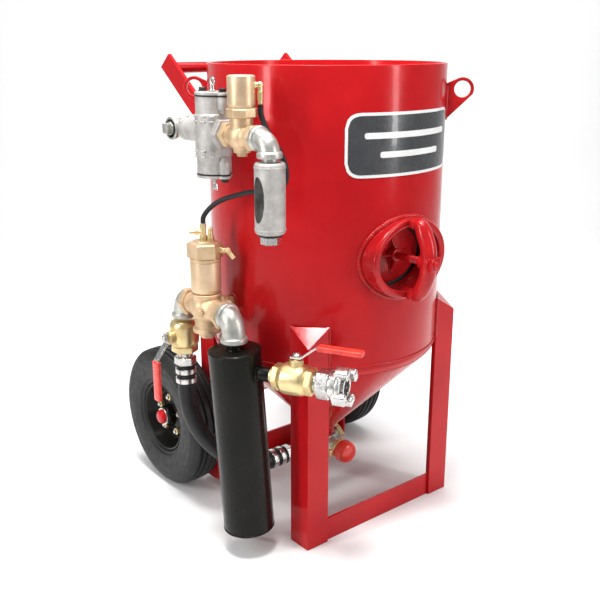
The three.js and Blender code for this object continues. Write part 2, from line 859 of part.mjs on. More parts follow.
// Ball valves: the body is bored for the ball, whose stem carries the lever.
const VALVE = { from: -66, to: 47, bore: 12, ballR: 20, stemR: 6.5, bossTop: 50, nutTop: 66 };
function ballValveBody(centre, axis, stem) {
  const outside = join(
    hex(60, VALVE.from + 9, VALVE.from + 27, centre, axis),
    rod(16, VALVE.from, VALVE.from + 12, centre, axis),
    turned(
      [[0, -42], [30, -42], [38, -32], [38, 20], [32, 30], [0, 30]],
      centre,
      axis,
      14,
    ),
    hex(62, 27, VALVE.to, centre, axis),
    rod(17, 0, VALVE.bossTop, centre, stem, 10),
  );
  return cut(
    outside,
    rod(VALVE.bore, VALVE.from - 1, VALVE.to + 1, centre, axis, 10),
    ball(VALVE.ballR + 4, centre, 10),
    rod(VALVE.stemR + 1.4, 0, VALVE.bossTop + 1, centre, stem, 8),
  );
}
function ballValveLever(centre, axis, stem) {
  const profile = [
    [-13, 54], [14, 54], [52, 84], [154, 84],
    [154, 88], [50, 88], [12, 58], [-13, 58],
  ];
  const strap = plate(profile, [], 20, centre, axis, stem);
  return cut(
    join(
      ball(VALVE.ballR, centre, 10),
      rod(VALVE.stemR, 0, VALVE.nutTop, centre, stem, 8),
      hex(17, 57, 66, centre, stem),
      strap,
    ),
    rod(VALVE.bore - 0.5, -60, 60, centre, axis, 10),
  );
}
function ballValveGrip(centre, axis, stem) {
  const across = stem.clone().cross(axis);
  const sleeve = plate(
    [[-12, 79], [12, 79], [14, 82], [14, 90], [12, 93], [-12, 93], [-14, 90], [-14, 82]],
    [],
    108,
    centre.clone().addScaledVector(axis, 110),
    across,
    stem,
  );
  const slot = plate(
    [[-10 - GAP, 84 - GAP], [10 + GAP, 84 - GAP], [10 + GAP, 88 + GAP], [-10 - GAP, 88 + GAP]],
    [],
    106,
    centre.clone().addScaledVector(axis, 105),
    across,
    stem,
  );
  return cut(sleeve, slot);
}

const onInlet = (distance) =>
  onMain(FRONT_ELBOW_Y, INLET.z).addScaledVector(inletDirection, distance);
const inletValve = onInlet(INLET.valve);
add("inlet_valve_body", ballValveBody(inletValve, inletDirection, Z), BRASS);
add("inlet_lever", ballValveLever(inletValve, inletDirection, Z), STEEL);
add("inlet_grip", ballValveGrip(inletValve, inletDirection, Z), VINYL);

const couplingStart = onInlet(INLET.valve + VALVE.to + GAP);
const claw = (turn) => {
  const side = Z.clone().applyAxisAngle(inletDirection, turn);
  const at = couplingStart.clone().addScaledVector(inletDirection, 72).addScaledVector(side, 43);
  const lug = new THREE.BoxGeometry(27, 35, 20);
  const place = new THREE.Matrix4().makeBasis(
    inletDirection.clone().cross(side),
    inletDirection,
    side,
  );
  return lug.applyMatrix4(place.setPosition(at));
};
add(
  "inlet_coupling",
  cut(
    join(
      rod(22, 0, 10, couplingStart, inletDirection),
      hex(66, 8, 42, couplingStart, inletDirection),
      rod(31, 40, 58, couplingStart, inletDirection),
      rod(44, 56, 72, couplingStart, inletDirection, 14),
      ...[0.4, 1.97, 3.54, 5.11].map(claw),
    ),
    rod(21, 20, 92, couplingStart, inletDirection),
  ),
  GALVANISED,
);

const pusherValve = onMain(REAR_ELBOW_Y, PUSHER_VALVE_Z);
add(
  "pusher_valve_body",
  cut(
    ballValveBody(pusherValve, NEG_Z, NEG_X),
    box(-450, -320, REAR_ELBOW_Y - 60, REAR_ELBOW_Y + 60, PIPE_Z - 50 - GAP, PIPE_Z),
  ),
  BRASS,
);
add("pusher_lever", ballValveLever(pusherValve, NEG_Z, NEG_X), STEEL);
add("pusher_grip", ballValveGrip(pusherValve, NEG_Z, NEG_X), VINYL);

// Pusher hose between two ferrules, and the metering valve under the cone.
const ferruleR = PUSHER_HOSE_R + 4;
const bandR = ferruleR + 1.5;
const ferrule = (end, direction) =>
  turned(
    [
      [0, -5],
      [ferruleR, -5],
      [ferruleR, 8],
      [bandR, 8],
      [bandR, 19],
      [ferruleR, 19],
      [ferruleR, 34],
      [bandR, 34],
      [bandR, 45],
      [ferruleR, 45],
      [ferruleR, 52],
      [PUSHER_HOSE_R + 2.2, 52],
      [PUSHER_HOSE_R + 2.2, -2 * GAP],
      [0, -2 * GAP],
    ],
    end,
    direction,
  );
const hoseTop = vec(...PUSHER_HOSE_ROUTE[0]);
const hoseEnd = vec(...PUSHER_HOSE_ROUTE.at(-1));
const adapterTopZ = PUSHER_VALVE_Z - VALVE.to - GAP;
add(
  "hose_adapter",
  join(
    ferrule(hoseTop, NEG_Z),
    rod(19, 1, adapterTopZ - hoseTop.z, hoseTop, Z),
    hex(52, 4, 26, hoseTop, Z),
  ),
  GALVANISED,
);
add("pusher_hose", bar(smooth(PUSHER_HOSE_ROUTE), PUSHER_HOSE_R, 12, 20), RUBBER);

const meterCentre = vec(0, 0, METER_Z);
const meterLeft = -62;
add(
  "hose_fitting",
  join(
    ferrule(hoseEnd, NEG_X),
    rod(17, GAP, meterLeft - GAP - hoseEnd.x, hoseEnd, X),
    hex(46, 3, 24, hoseEnd, X),
  ),
  GALVANISED,
);
const plugDirection = vec(0.82, -0.25, 0.4).normalize();
add(
  "metering_valve_body",
  cut(
    join(
      rod(36, 10, OUTLET_Z - METER_Z - GAP, meterCentre, Z, 14),
      ball(34, meterCentre, 14),
      rod(24, 0, -meterLeft, meterCentre, NEG_X),
      rod(28, -meterLeft - 12, -meterLeft, meterCentre, NEG_X),
      rod(24, 0, 58, meterCentre, NEG_Y),
      rod(18, 0, 56, meterCentre, plugDirection),
      hex(40, 46, 60, meterCentre, plugDirection),
      rod(17, 0, 62, meterCentre, Y),
    ),
    box(-31, 31, -40, 40, OUTLET_Z - GAP, OUTLET_Z + 60),
  ),
  GALVANISED,
);
add(
  "metering_knob",
  join(
    rod(8, 62 + GAP, 74, meterCentre, Y, 12),
    turned(
      [[0, 72], [22, 72], [27, 77], [27, 90], [22, 95], [0, 95]],
      meterCentre,
      Y,
      12,
    ),
  ),
  BLACK_PAINT,
);
const couplingY = 58 + GAP;
add(
  "blast_hose_coupling",
  cut(
    join(
      hex(50, couplingY, couplingY + 14, meterCentre, NEG_Y),
      rod(24, couplingY, couplingY + 46, meterCentre, NEG_Y),
      rod(30, couplingY + 14, couplingY + 21, meterCentre, NEG_Y),
      box(-42, 42, -couplingY - 22, -couplingY - 12, METER_Z - 9, METER_Z + 9),
    ),
    rod(15, couplingY + 10, couplingY + 60, meterCentre, NEG_Y),
  ),
  BRASS,
);
add(
  "coupling_cap",
  cut(
    turned(
      [[0, 82], [29, 82], [32, 85], [31, 104], [26, 112], [14, 116], [0, 117]],
      meterCentre,
      NEG_Y,
      16,
    ),
    rod(24 + GAP, 60, couplingY + 46 + GAP, meterCentre, NEG_Y),
  ),
  VINYL,
);

add("control_hose", bar(smooth(CONTROL_HOSE_ROUTE), CONTROL_HOSE_R, 8, 36), RUBBER);

// ---- Origin: the middle of the footprint, on the floor ----
const extent = new THREE.Box3().setFromObject(pot);
const footprint = extent.getCenter(vec(0, 0, 0));
pot.position.set(-footprint.x, -footprint.y, -extent.min.z);

export default pot;
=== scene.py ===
"""Portable abrasive blast pot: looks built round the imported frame.

Shapes are written in pot millimetres: the vessel's axis is X = Y = 0, the floor is Z = 0, and the
handhole faces -Y. at() turns such a point into the row frame, in metres.
"""

import math
import random

import bmesh
import bpy
from mathutils import Matrix, Vector


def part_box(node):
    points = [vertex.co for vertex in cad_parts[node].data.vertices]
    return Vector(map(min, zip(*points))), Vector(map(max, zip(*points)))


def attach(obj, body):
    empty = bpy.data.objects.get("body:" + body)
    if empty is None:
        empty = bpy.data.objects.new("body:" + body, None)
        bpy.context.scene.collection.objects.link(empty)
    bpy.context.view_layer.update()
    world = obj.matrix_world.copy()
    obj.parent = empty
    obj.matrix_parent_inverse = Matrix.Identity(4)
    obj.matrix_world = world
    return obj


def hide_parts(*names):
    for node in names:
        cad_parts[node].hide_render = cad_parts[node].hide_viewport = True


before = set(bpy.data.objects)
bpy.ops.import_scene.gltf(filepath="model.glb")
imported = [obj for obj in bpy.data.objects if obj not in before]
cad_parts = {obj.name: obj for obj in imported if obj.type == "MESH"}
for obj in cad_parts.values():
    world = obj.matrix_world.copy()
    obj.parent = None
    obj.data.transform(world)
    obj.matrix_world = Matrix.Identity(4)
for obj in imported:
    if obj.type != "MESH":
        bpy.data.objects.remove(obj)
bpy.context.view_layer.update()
random.seed(24)  # the weld ripples are the only random shapes

MM = 0.001
shell_low, shell_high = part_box("vessel_shell")
AXIS = Vector(((shell_low.x + shell_high.x) / 2, (shell_low.y + shell_high.y) / 2, 0))
X, Y, Z = Vector((1, 0, 0)), Vector((0, 1, 0)), Vector((0, 0, 1))
O = Vector((0, 0, 0))
SENSOR_WIDTH = 36
SHARP_ANGLE = 32  # degrees between faces, above which an edge stays sharp


def at(x, y, z):
    return Vector((x, y, z)) * MM + AXIS


def angles(count):
    """Headings spread evenly round a circle."""
    return [2 * math.pi * k / count for k in range(count)]


# ---- Driving dimensions, as in the frame ----
GAP = 0.3  # clearance between neighbouring solids
SHELL_R, WALL, RIM_Z = 305, 6, 1200
CONE_TOP_Z, CONE_TOP_R, OUTLET_R, OUTLET_Z = 482, 290, 30, 166
HEAD_SAG, HEAD_RIM_Z, PORT_R = 80, 1158, 42
PIPE_Z = 620
HAND_X, HAND_Z, HAND_A, HAND_B, HAND_WALL = -8, 748, 102.5, 79, 20
HAND_FRONT, HAND_BACK = -328, -255
LEG_CORNER, LEG_SIZE, LEG_TOP, FRONT_SPREAD = 250, 68, 590, (10, 8)
WHEEL_X, WHEEL_Y, WHEEL_R, WHEEL_HALF, RIM_R = 312, 315, 203, 50, 101
AXLE_R, AXLE_HALF = 12.7, 356
ARM_X, GRIP_Y, GRIP_Z, GRIP_R = 205, 425, 1180, 15
LUG_REACH, LUG_Z, LUG_R, LUG_HOLE, LUG_THICK = 345, 1135, 29, 20.5, 12
LUG_HEADINGS = {"right": math.radians(-45), "left": math.radians(135)}
EX_X, EX_Z, TEE_Y, TRAP_Y, OUT_Y, MUFFLER_Y = -375, 1050, 104, -37, -150, -250
MAIN_X, FRONT_Y, REAR_Y = -385, -115, 112
SEP_TOP, SEP_LENGTH, SEP_R, SEP_LEAN = 545, 492, 64, math.radians(3.3)
INLET_Z, INLET_ANGLE, INLET_REACH = 491, math.radians(-62), 162
PUSHER_Z, METER_Z, METER_REACH = 520, 140, 62


def linked(name, data):
    """New object in the scene."""
    thing = bpy.data.objects.new(name, data)
    bpy.context.scene.collection.objects.link(thing)
    return thing


# ---- Camera and hoses ----
CAMERA_AT = (-1476.6, -1703.1, 1250)
CAMERA_HEADING, CAMERA_DOWN, CAMERA_LENS = Vector((0.632, 0.775, 0)), math.radians(16.9), 51.06
camera = linked("camera", bpy.data.cameras.new("camera"))
camera.data.lens = CAMERA_LENS
camera.data.sensor_width = SENSOR_WIDTH
camera.location = at(*CAMERA_AT)
look = CAMERA_HEADING.normalized() * math.cos(CAMERA_DOWN) - Z * math.sin(CAMERA_DOWN)
camera.rotation_euler = look.to_track_quat("-Z", "Y").to_euler()
bpy.context.scene.camera = camera

PUSHER_HOSE_R = 23
PUSHER_HOSE_ROUTE = [
    (-385, 112, 434), (-385, 112, 417), (-385, 112, 400.4), (-385.1, 111.2, 366.8),
    (-385.5, 105.7, 333.6), (-384.3, 94.8, 301.9), (-379.1, 80.3, 272.1), (-368.7, 64.7, 244.2),
    (-353, 49.8, 218.5), (-332.6, 36.4, 195.5), (-308.1, 24.7, 175.6), (-280.2, 14.9, 159.7),
    (-249.6, 7.2, 148.2), (-217.1, 1.9, 141.7), (-184, 0, 140), (-167, 0, 140), (-150, 0, 140),
]
CONTROL_HOSE_R = 6
CONTROL_HOSE_ROUTE = [
    (-345, -180, 1118), (-345, -180, 1100), (-340, -195, 1066), (-331, -222, 1028),
    (-325, -240, 992), (-322, -240, 962), (-321, -222, 938), (-322, -190, 926), (-325, -150, 922),
    (-329, -108, 915), (-338, -68, 903), (-350, -40, 893), (-364, -19, 880), (-376, -4, 863),
    (-384, 4, 846), (-385, 5, 832),
]


def catmull(points, steps=8):
    """Centripetal Catmull-Rom line through the points."""
    pts = [Vector(p) for p in points]
    pts = [2 * pts[0] - pts[1], *pts, 2 * pts[-1] - pts[-2]]
    line = []
    for a, b, c, d in zip(pts, pts[1:], pts[2:], pts[3:]):
        t1 = (b - a).length ** 0.5
        t2 = t1 + (c - b).length ** 0.5
        t3 = t2 + (d - c).length ** 0.5
        for k in range(steps):
            t = t1 + (t2 - t1) * k / steps
            p, q = a.lerp(b, t / t1), b.lerp(c, (t - t1) / (t2 - t1))
            r = c.lerp(d, (t - t2) / (t3 - t2))
            u, v = p.lerp(q, t / t2), q.lerp(r, (t - t1) / (t3 - t1))
            line.append(u.lerp(v, (t - t1) / (t2 - t1)))
    return [*line, pts[-2]]


def length_of(line):
    return sum((b - a).length for a, b in zip(line, line[1:]))


def loop_round(centre, across, other, r, count):
    """Closed line of points in a circle, across and other being its two directions."""
    return [centre + (across * math.cos(t) + other * math.sin(t)) * r for t in angles(count)]


# ---- Materials ----
COAT_ROUGHNESS = 0.06


def noise(nodes, links, coordinates, scale, detail=6, rough=0.6):
    n = nodes.new("ShaderNodeTexNoise")
    n.inputs["Scale"].default_value = scale
    n.inputs["Detail"].default_value = detail
    n.inputs["Roughness"].default_value = rough
    links.new(coordinates, n.inputs["Vector"])
    return n.outputs["Fac"]


def spread(nodes, links, value, low, high, start=0.35, end=0.65):
    """Maps start..end of a value to low..high."""
    m = nodes.new("ShaderNodeMapRange")
    for key, number in zip(("From Min", "From Max", "To Min", "To Max"), (start, end, low, high)):
        m.inputs[key].default_value = number
    links.new(value, m.inputs["Value"])
    return m.outputs["Result"]


def surface(name, light, dark, rough, metal=0.0, patch=9, grain=(400, 0.2, 0.0004), wave=None,
            coat=0.0, spangle=0.0, stretch=(1, 1, 1), specular=0.5, tint=(1, 1, 1)):
    """Procedural finish: two tones in patches, uneven roughness, and relief from grain and a wave.

    rough is (low, high), grain and wave are (scale, strength, depth), spangle scales zinc cells.
    """
    m = bpy.data.materials.new(name)
    m.use_nodes = True
    nodes, links = m.node_tree.nodes, m.node_tree.links
    shader = nodes["Principled BSDF"]
    shader.inputs["Metallic"].default_value = metal
    shader.inputs["Coat Weight"].default_value = coat
    shader.inputs["Coat Roughness"].default_value = COAT_ROUGHNESS
    shader.inputs["Specular IOR Level"].default_value = specular
    shader.inputs["Specular Tint"].default_value = (*tint, 1)
    where = nodes.new("ShaderNodeTexCoord").outputs["Object"]
    scaled = nodes.new("ShaderNodeMapping")
    scaled.inputs["Scale"].default_value = stretch
    links.new(where, scaled.inputs["Vector"])
    tone = nodes.new("ShaderNodeMix")
    tone.data_type = "RGBA"
    tone.inputs["A"].default_value = (*dark, 1)
    tone.inputs["B"].default_value = (*light, 1)
    share = spread(nodes, links, noise(nodes, links, scaled.outputs[0], patch), 0, 1)
    if spangle:
        cells = nodes.new("ShaderNodeTexVoronoi")
        cells.inputs["Scale"].default_value = spangle
        links.new(where, cells.inputs["Vector"])
        both = nodes.new("ShaderNodeMath")
        both.operation = "MULTIPLY"
        links.new(share, both.inputs[0])
        links.new(spread(nodes, links, cells.outputs["Color"], 0.45, 1.1, 0, 1), both.inputs[1])
        share = both.outputs[0]
    links.new(share, tone.inputs["Factor"])
    links.new(tone.outputs["Result"], shader.inputs["Base Color"])
    uneven = noise(nodes, links, scaled.outputs[0], patch * 5)
    links.new(spread(nodes, links, uneven, *rough), shader.inputs["Roughness"])
    relief = None
    for scale, strength, depth in filter(None, (grain, wave)):
        bump = nodes.new("ShaderNodeBump")
        bump.inputs["Strength"].default_value = strength
        bump.inputs["Distance"].default_value = depth
        links.new(noise(nodes, links, scaled.outputs[0], scale, 3), bump.inputs["Height"])
        if relief:
            links.new(relief, bump.inputs["Normal"])
        relief = bump.outputs["Normal"]
    links.new(relief, shader.inputs["Normal"])
    return m


ENAMEL = surface("red_enamel", (0.48, 0.009, 0.012), (0.39, 0.007, 0.010), (0.15, 0.25), patch=5,
                 grain=(260, 0.10, 0.0003), wave=(16, 0.12, 0.0012), coat=0.08, specular=0.3,
                 tint=(1, 0.4, 0.4))
ENAMEL_ROUGH = surface("red_enamel_on_forging", (0.47, 0.010, 0.012), (0.33, 0.006, 0.009),
                       (0.14, 0.28), patch=22, grain=(330, 0.28, 0.0005), wave=(70, 0.3, 0.0014),
                       coat=0.2, specular=0.4, tint=(1, 0.5, 0.5))
BLACK = surface("black_enamel", (0.010, 0.009, 0.008), (0.005, 0.005, 0.004), (0.16, 0.30), patch=6,
                grain=(300, 0.25, 0.0005), wave=(60, 0.3, 0.0014), coat=0.05, specular=0.12)
BRONZE = surface("cast_bronze", (0.72, 0.53, 0.34), (0.54, 0.38, 0.22), (0.40, 0.55), metal=0.7,
                 patch=24, grain=(700, 0.5, 0.0006), wave=(120, 0.25, 0.001))
BRONZE_TURNED = surface("turned_bronze", (0.76, 0.57, 0.38), (0.64, 0.46, 0.29), (0.36, 0.48),
                        metal=0.7, patch=14, grain=(500, 0.25, 0.0004))
BRASS = surface("forged_brass", (0.80, 0.66, 0.36), (0.66, 0.50, 0.24), (0.28, 0.42), metal=0.85,
                patch=16, grain=(600, 0.2, 0.0004))
GALVANISED = surface("galvanised_iron", (0.60, 0.60, 0.55), (0.36, 0.36, 0.33), (0.32, 0.48),
                     metal=0.75, patch=34, grain=(500, 0.3, 0.0005), wave=(90, 0.3, 0.0012),
                     spangle=160)
ALUMINIUM = surface("cast_aluminium", (0.52, 0.50, 0.48), (0.36, 0.345, 0.33), (0.46, 0.62),
                    metal=0.6, patch=40, grain=(900, 0.8, 0.0009), wave=(190, 0.4, 0.0012))
STEEL = surface("zinc_steel", (0.66, 0.66, 0.64), (0.46, 0.46, 0.44), (0.20, 0.34), metal=1.0,
                patch=40, grain=(800, 0.12, 0.0003), stretch=(3, 3, 1))
NICKEL = surface("nickel_plate", (0.68, 0.67, 0.65), (0.52, 0.51, 0.50), (0.20, 0.34), metal=0.95,
                 patch=40, grain=(700, 0.10, 0.0003))
DARK_STEEL = surface("blackened_steel", (0.085, 0.080, 0.075), (0.035, 0.033, 0.031), (0.34, 0.5),
                     metal=0.8, patch=50, grain=(700, 0.3, 0.0005))
RUBBER = surface("hose_rubber", (0.013, 0.013, 0.014), (0.007, 0.007, 0.008), (0.38, 0.55),
                 patch=30, grain=(900, 0.35, 0.0004), specular=0.35)
TYRE = surface("tyre_rubber", (0.013, 0.0125, 0.012), (0.007, 0.007, 0.007), (0.42, 0.6), patch=14,
               grain=(700, 0.3, 0.0004), specular=0.3)
VINYL = surface("dipped_vinyl", (0.78, 0.050, 0.032), (0.62, 0.030, 0.020), (0.24, 0.36), patch=40,
                grain=(500, 0.15, 0.0004), wave=(80, 0.2, 0.0008), coat=0.2)
BADGE_FACE = surface("badge_face", (0.050, 0.052, 0.056), (0.036, 0.038, 0.042), (0.22, 0.32),
                     patch=12, grain=(500, 0.08, 0.0002), coat=0.3)
BADGE_EDGE = surface("badge_white", (0.86, 0.86, 0.85), (0.76, 0.76, 0.75), (0.28, 0.38), patch=12,
                     grain=(500, 0.08, 0.0002), coat=0.3)

SLOT_OF = {m.name: slot for slot, materials in (
    ("pot_red", (ENAMEL, ENAMEL_ROUGH)), ("black_paint", (BLACK, BADGE_FACE, BADGE_EDGE)),
    ("bronze", (BRONZE, BRONZE_TURNED)), ("brass", (BRASS,)), ("galvanised", (GALVANISED, NICKEL)),
    ("aluminium", (ALUMINIUM,)), ("steel", (STEEL, DARK_STEEL)), ("rubber", (RUBBER,)),
    ("tyre", (TYRE,)), ("vinyl", (VINYL,))) for m in materials}


# ---- Shapes ----
NEARLY_STRAIGHT = 2.9  # radians between the two sides of a corner that isn't rounded
RIPPLE, DRIFT_SPAN = 1.5, 9  # mm between rings of a weld, and rings between its changes of width


def fillet(points, radius, closed=False, steps=4):
    """Rounds the corners of a line of (a, b) points."""
    pts = [Vector(p) for p in points]
    count = len(pts)
    out = []
    for i, p in enumerate(pts):
        if not closed and i in (0, count - 1):
            out.append(p)
            continue
        before, after = pts[i - 1] - p, pts[(i + 1) % count] - p
        reach = min(radius, 0.45 * before.length, 0.45 * after.length)
        if before.length < 1e-6 or after.length < 1e-6 or before.angle(after) > NEARLY_STRAIGHT:
            out.append(p)
            continue
        start, end = p + before.normalized() * reach, p + after.normalized() * reach
        for k in range(steps + 1):
            t = k / steps
            out.append(start * (1 - t) ** 2 + p * 2 * t * (1 - t) + end * t**2)
    return out


def axes(direction, up=None):
    """Two directions square to the given one, and the direction itself, all of unit length."""
    w = Vector(direction).normalized()
    if up is None:
        up = Z if abs(w.z) < 0.9 else X
    u = Vector(up) - w * w.dot(up)
    u.normalize()
    return u, w.cross(u), w


def row_mesh(name, bm):
    """Mesh in the row frame from shapes in pot millimetres, which it uses up."""
    bmesh.ops.recalc_face_normals(bm, faces=bm.faces)
    for v in bm.verts:
        v.co = v.co * MM + AXIS
    mesh = bpy.data.meshes.new(name)
    bm.to_mesh(mesh)
    bm.free()
    return mesh


class Piece:
    """Gathers closed shapes in pot millimetres; done() makes one object of them."""

    def __init__(self):
        self.bm = bmesh.new()

    def loft(self, rings, loop=False):
        """Skin over rings of points, a ring of one point being a tip; loop joins the ends."""
        rows = [[self.bm.verts.new(p) for p in ring] for ring in rings]
        pairs = list(zip(rows, rows[1:])) + ([(rows[-1], rows[0])] if loop else [])
        for a, b in pairs:
            count = max(len(a), len(b))
            for i in range(count):
                j = (i + 1) % count
                corners = [a[i % len(a)], a[j % len(a)], b[j % len(b)], b[i % len(b)]]
                corners = list(dict.fromkeys(corners))
                if len(corners) > 2:
                    self.bm.faces.new(corners)
        if not loop:
            for end in (rows[0], rows[-1]):
                if len(end) > 2:
                    self.bm.faces.new(end)
        return self

    def turned(self, profile, origin=O, direction=Z, sides=48, soft=1.2, closed=False):
        """Solid of revolution; the profile is (radius, distance along the direction) points."""
        u, v, w = axes(direction)
        rings = []
        for r, d in fillet(profile, soft, closed):
            centre = Vector(origin) + w * d
            rings.append([centre] if r < 1e-5 else loop_round(centre, u, v, r, sides))
        return self.loft(rings, closed)

    def rod(self, r, start, end, origin=O, direction=Z, sides=36, soft=1.2):
        profile = [(0, start), (r, start), (r, end), (0, end)]
        return self.turned(profile, origin, direction, sides, soft)

    def ring(self, outer, inner, start, end, origin=O, direction=Z, sides=48, soft=1.2):
        profile = [(inner, start), (outer, start), (outer, end), (inner, end)]
        return self.turned(profile, origin, direction, sides, soft, True)

    def ball(self, r, centre, sides=36):
        arc = [(r * math.sin(math.pi * k / 18), -r * math.cos(math.pi * k / 18)) for k in range(19)]
        arc[0], arc[-1] = (0, -r), (0, r)
        return self.turned(arc, centre, Z, sides, 0)

    def prism(self, section, levels, origin, direction, up=None):
        """section is (a, b) points; levels are (distance, scale)."""
        u, v, w = axes(direction, up)
        base = Vector(origin)
        return self.loft([
            [base + w * d + (u * a + v * b) * s for a, b in section] for d, s in levels
        ])

    def hexagon(self, across, start, end, origin, direction, sides=6, up=None):
        """Chamfered wrench flats, across from flat to flat; other counts of sides too."""
        r = across / 2 / math.cos(math.pi / sides)
        turn = [2 * math.pi * (k + 0.5) / sides for k in range(sides)]
        section = fillet([(r * math.cos(a), r * math.sin(a)) for a in turn], 1.6, True)
        start, end = min(start, end), max(start, end)
        chamfer = min(across * 0.05, (end - start) * 0.2)
        levels = [(start, 1 - 1.6 * chamfer / r), (start + chamfer * 0.4, 1 - 0.6 * chamfer / r),
                  (start + chamfer, 1), (end - chamfer, 1),
                  (end - chamfer * 0.4, 1 - 0.6 * chamfer / r), (end, 1 - 1.6 * chamfer / r)]
        return self.prism(section, levels, origin, direction, up)

    def plate(self, outline, thick, origin, right, up, holes=(), edge=1.0):
        """Flat outline with rounded edges; its (a, b) points run along right and up."""
        curve = bpy.data.curves.new("outline", "CURVE")
        curve.dimensions, curve.fill_mode = "2D", "BOTH"
        for points in (outline, *holes):
            spline = curve.splines.new("POLY")
            spline.points.add(len(points) - 1)
            for slot, (a, b) in zip(spline.points, points):
                slot.co = (a, b, 0, 1)
            spline.use_cyclic_u = True
        curve.extrude = thick / 2 - edge
        curve.bevel_depth, curve.bevel_resolution, curve.offset = edge, 2, -edge
        holder = bpy.data.objects.new("outline", curve)
        mesh = bpy.data.meshes.new_from_object(holder)
        right, up = Vector(right), Vector(up)
        place = Matrix((right, up, right.cross(up))).transposed().to_4x4()
        place.translation = Vector(origin)
        mesh.transform(place)
        old = len(self.bm.verts)
        self.bm.from_mesh(mesh)
        self.bm.verts.ensure_lookup_table()
        bmesh.ops.remove_doubles(self.bm, verts=self.bm.verts[old:], dist=0.02)
        bpy.data.objects.remove(holder)
        bpy.data.curves.remove(curve)
        bpy.data.meshes.remove(mesh)
        return self

    def block(self, size, centre, right=X, up=Z, edge=1.5):
        a, b = size[0] / 2, size[2] / 2
        outline = fillet([(-a, -b), (a, -b), (a, b), (-a, b)], edge * 1.5, True)
        return self.plate(outline, size[1], centre, right, up, edge=edge)

    def pipe(self, line, radius, sides=24, closed=False):
        """Round section along a line; radius is a number, or a function of the line's share."""
        pts = [Vector(p) for p in line]
        count = len(pts)
        side = None
        rings = []
        for i, p in enumerate(pts):
            if closed:
                along = (pts[(i + 1) % count] - pts[i - 1]).normalized()
            else:
                along = (pts[min(i + 1, count - 1)] - pts[max(i - 1, 0)]).normalized()
            side = along.orthogonal() if side is None else side - along * side.dot(along)
            side.normalize()
            r = radius(i / max(1, count - 1)) if callable(radius) else radius
            rings.append(loop_round(p, side, along.cross(side), r, sides))
        return self.loft(rings, closed)

    def weld(self, line, r, closed=False):
        """Bead laid in overlapping ripples."""
        pts = [Vector(p) for p in line] + ([Vector(line[0])] if closed else [])
        total = length_of(pts)
        count = max(4, int(total / RIPPLE))
        dense, travelled, i = [], 0.0, 0
        for k in range(count + 1):
            goal = total * k / count
            while i < len(pts) - 2 and travelled + (pts[i + 1] - pts[i]).length < goal:
                travelled += (pts[i + 1] - pts[i]).length
                i += 1
            step = (pts[i + 1] - pts[i]).length
            dense.append(pts[i].lerp(pts[i + 1], min(1, (goal - travelled) / step)))
        drift = [random.uniform(0.88, 1.1) for _ in range(count // DRIFT_SPAN + 3)]

        def swell(share):
            s = share * count / DRIFT_SPAN
            base = drift[int(s)] * (1 - s % 1) + drift[int(s) + 1] * (s % 1)
            return r * base * (0.84 + 0.2 * abs(math.sin(math.pi * share * total / (r * 1.1))))

        return self.pipe(dense[:-1] if closed else dense, swell, 10, closed)

    def done(self, name, material, *nodes, body="tank", slot=None, angle=SHARP_ANGLE):
        """One object that rides on the body, in place of the CAD nodes."""
        mesh = row_mesh(name, self.bm)
        mesh.polygons.foreach_set("use_smooth", [True] * len(mesh.polygons))
        mesh.set_sharp_from_angle(angle=math.radians(angle))
        mesh.materials.append(material)
        piece = linked(name, mesh)
        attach(piece, body)
        slot or SLOT_OF[material.name]
        if nodes:
            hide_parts(*nodes)
        return piece


def dress(node, material, bevel=1.2):
    """Keeps a CAD node, with a finish and softened edges."""
    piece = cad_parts[node]
    piece.data.materials.clear()
    piece.data.materials.append(material)
    soft = piece.modifiers.new("soft_edges", "BEVEL")
    soft.width, soft.segments = bevel * MM, 2
    soft.limit_method, soft.angle_limit = "ANGLE", math.radians(40)


def bored(piece, cutter):
    """Cuts the cutter's shape out of the piece, for good."""
    tool = linked("cutter", row_mesh("cutter", cutter.bm))
    hole = piece.modifiers.new("hole", "BOOLEAN")
    hole.object, hole.solver, hole.operation = tool, "EXACT", "DIFFERENCE"
    graph = bpy.context.evaluated_depsgraph_get()
    cut = bpy.data.meshes.new_from_object(piece.evaluated_get(graph))
    piece.modifiers.clear()
    piece.data = cut
    bpy.data.objects.remove(tool)
    cut.set_sharp_from_angle(angle=math.radians(SHARP_ANGLE))


def oval(a, b, y, count=96):
    """The handhole's outline at a depth, with half-widths a and b."""
    return [
        Vector((HAND_X + a * math.cos(t), y, HAND_Z + b * math.sin(t))) for t in angles(count)
    ]


def on_shell(angle, z, r=SHELL_R):
    return Vector((r * math.cos(angle), r * math.sin(angle), z))


def circle(r, z, count=180):
    return [on_shell(t, z, r) for t in angles(count)]


# ---- Vessel ----
shell = Piece().ring(SHELL_R, SHELL_R - WALL, CONE_TOP_Z + GAP, RIM_Z, sides=192, soft=2.2)
shell = shell.done("shell", ENAMEL, "vessel_shell")
bored(shell, Piece().loft([oval(HAND_A + 15, HAND_B + 15, y) for y in (-400, -200)]))

head_r = SHELL_R - WALL - GAP
head_sphere = (head_r**2 + HEAD_SAG**2) / (2 * HEAD_SAG)


def head_z(r):
    return HEAD_RIM_Z - HEAD_SAG + head_sphere - math.sqrt(head_sphere**2 - r**2)


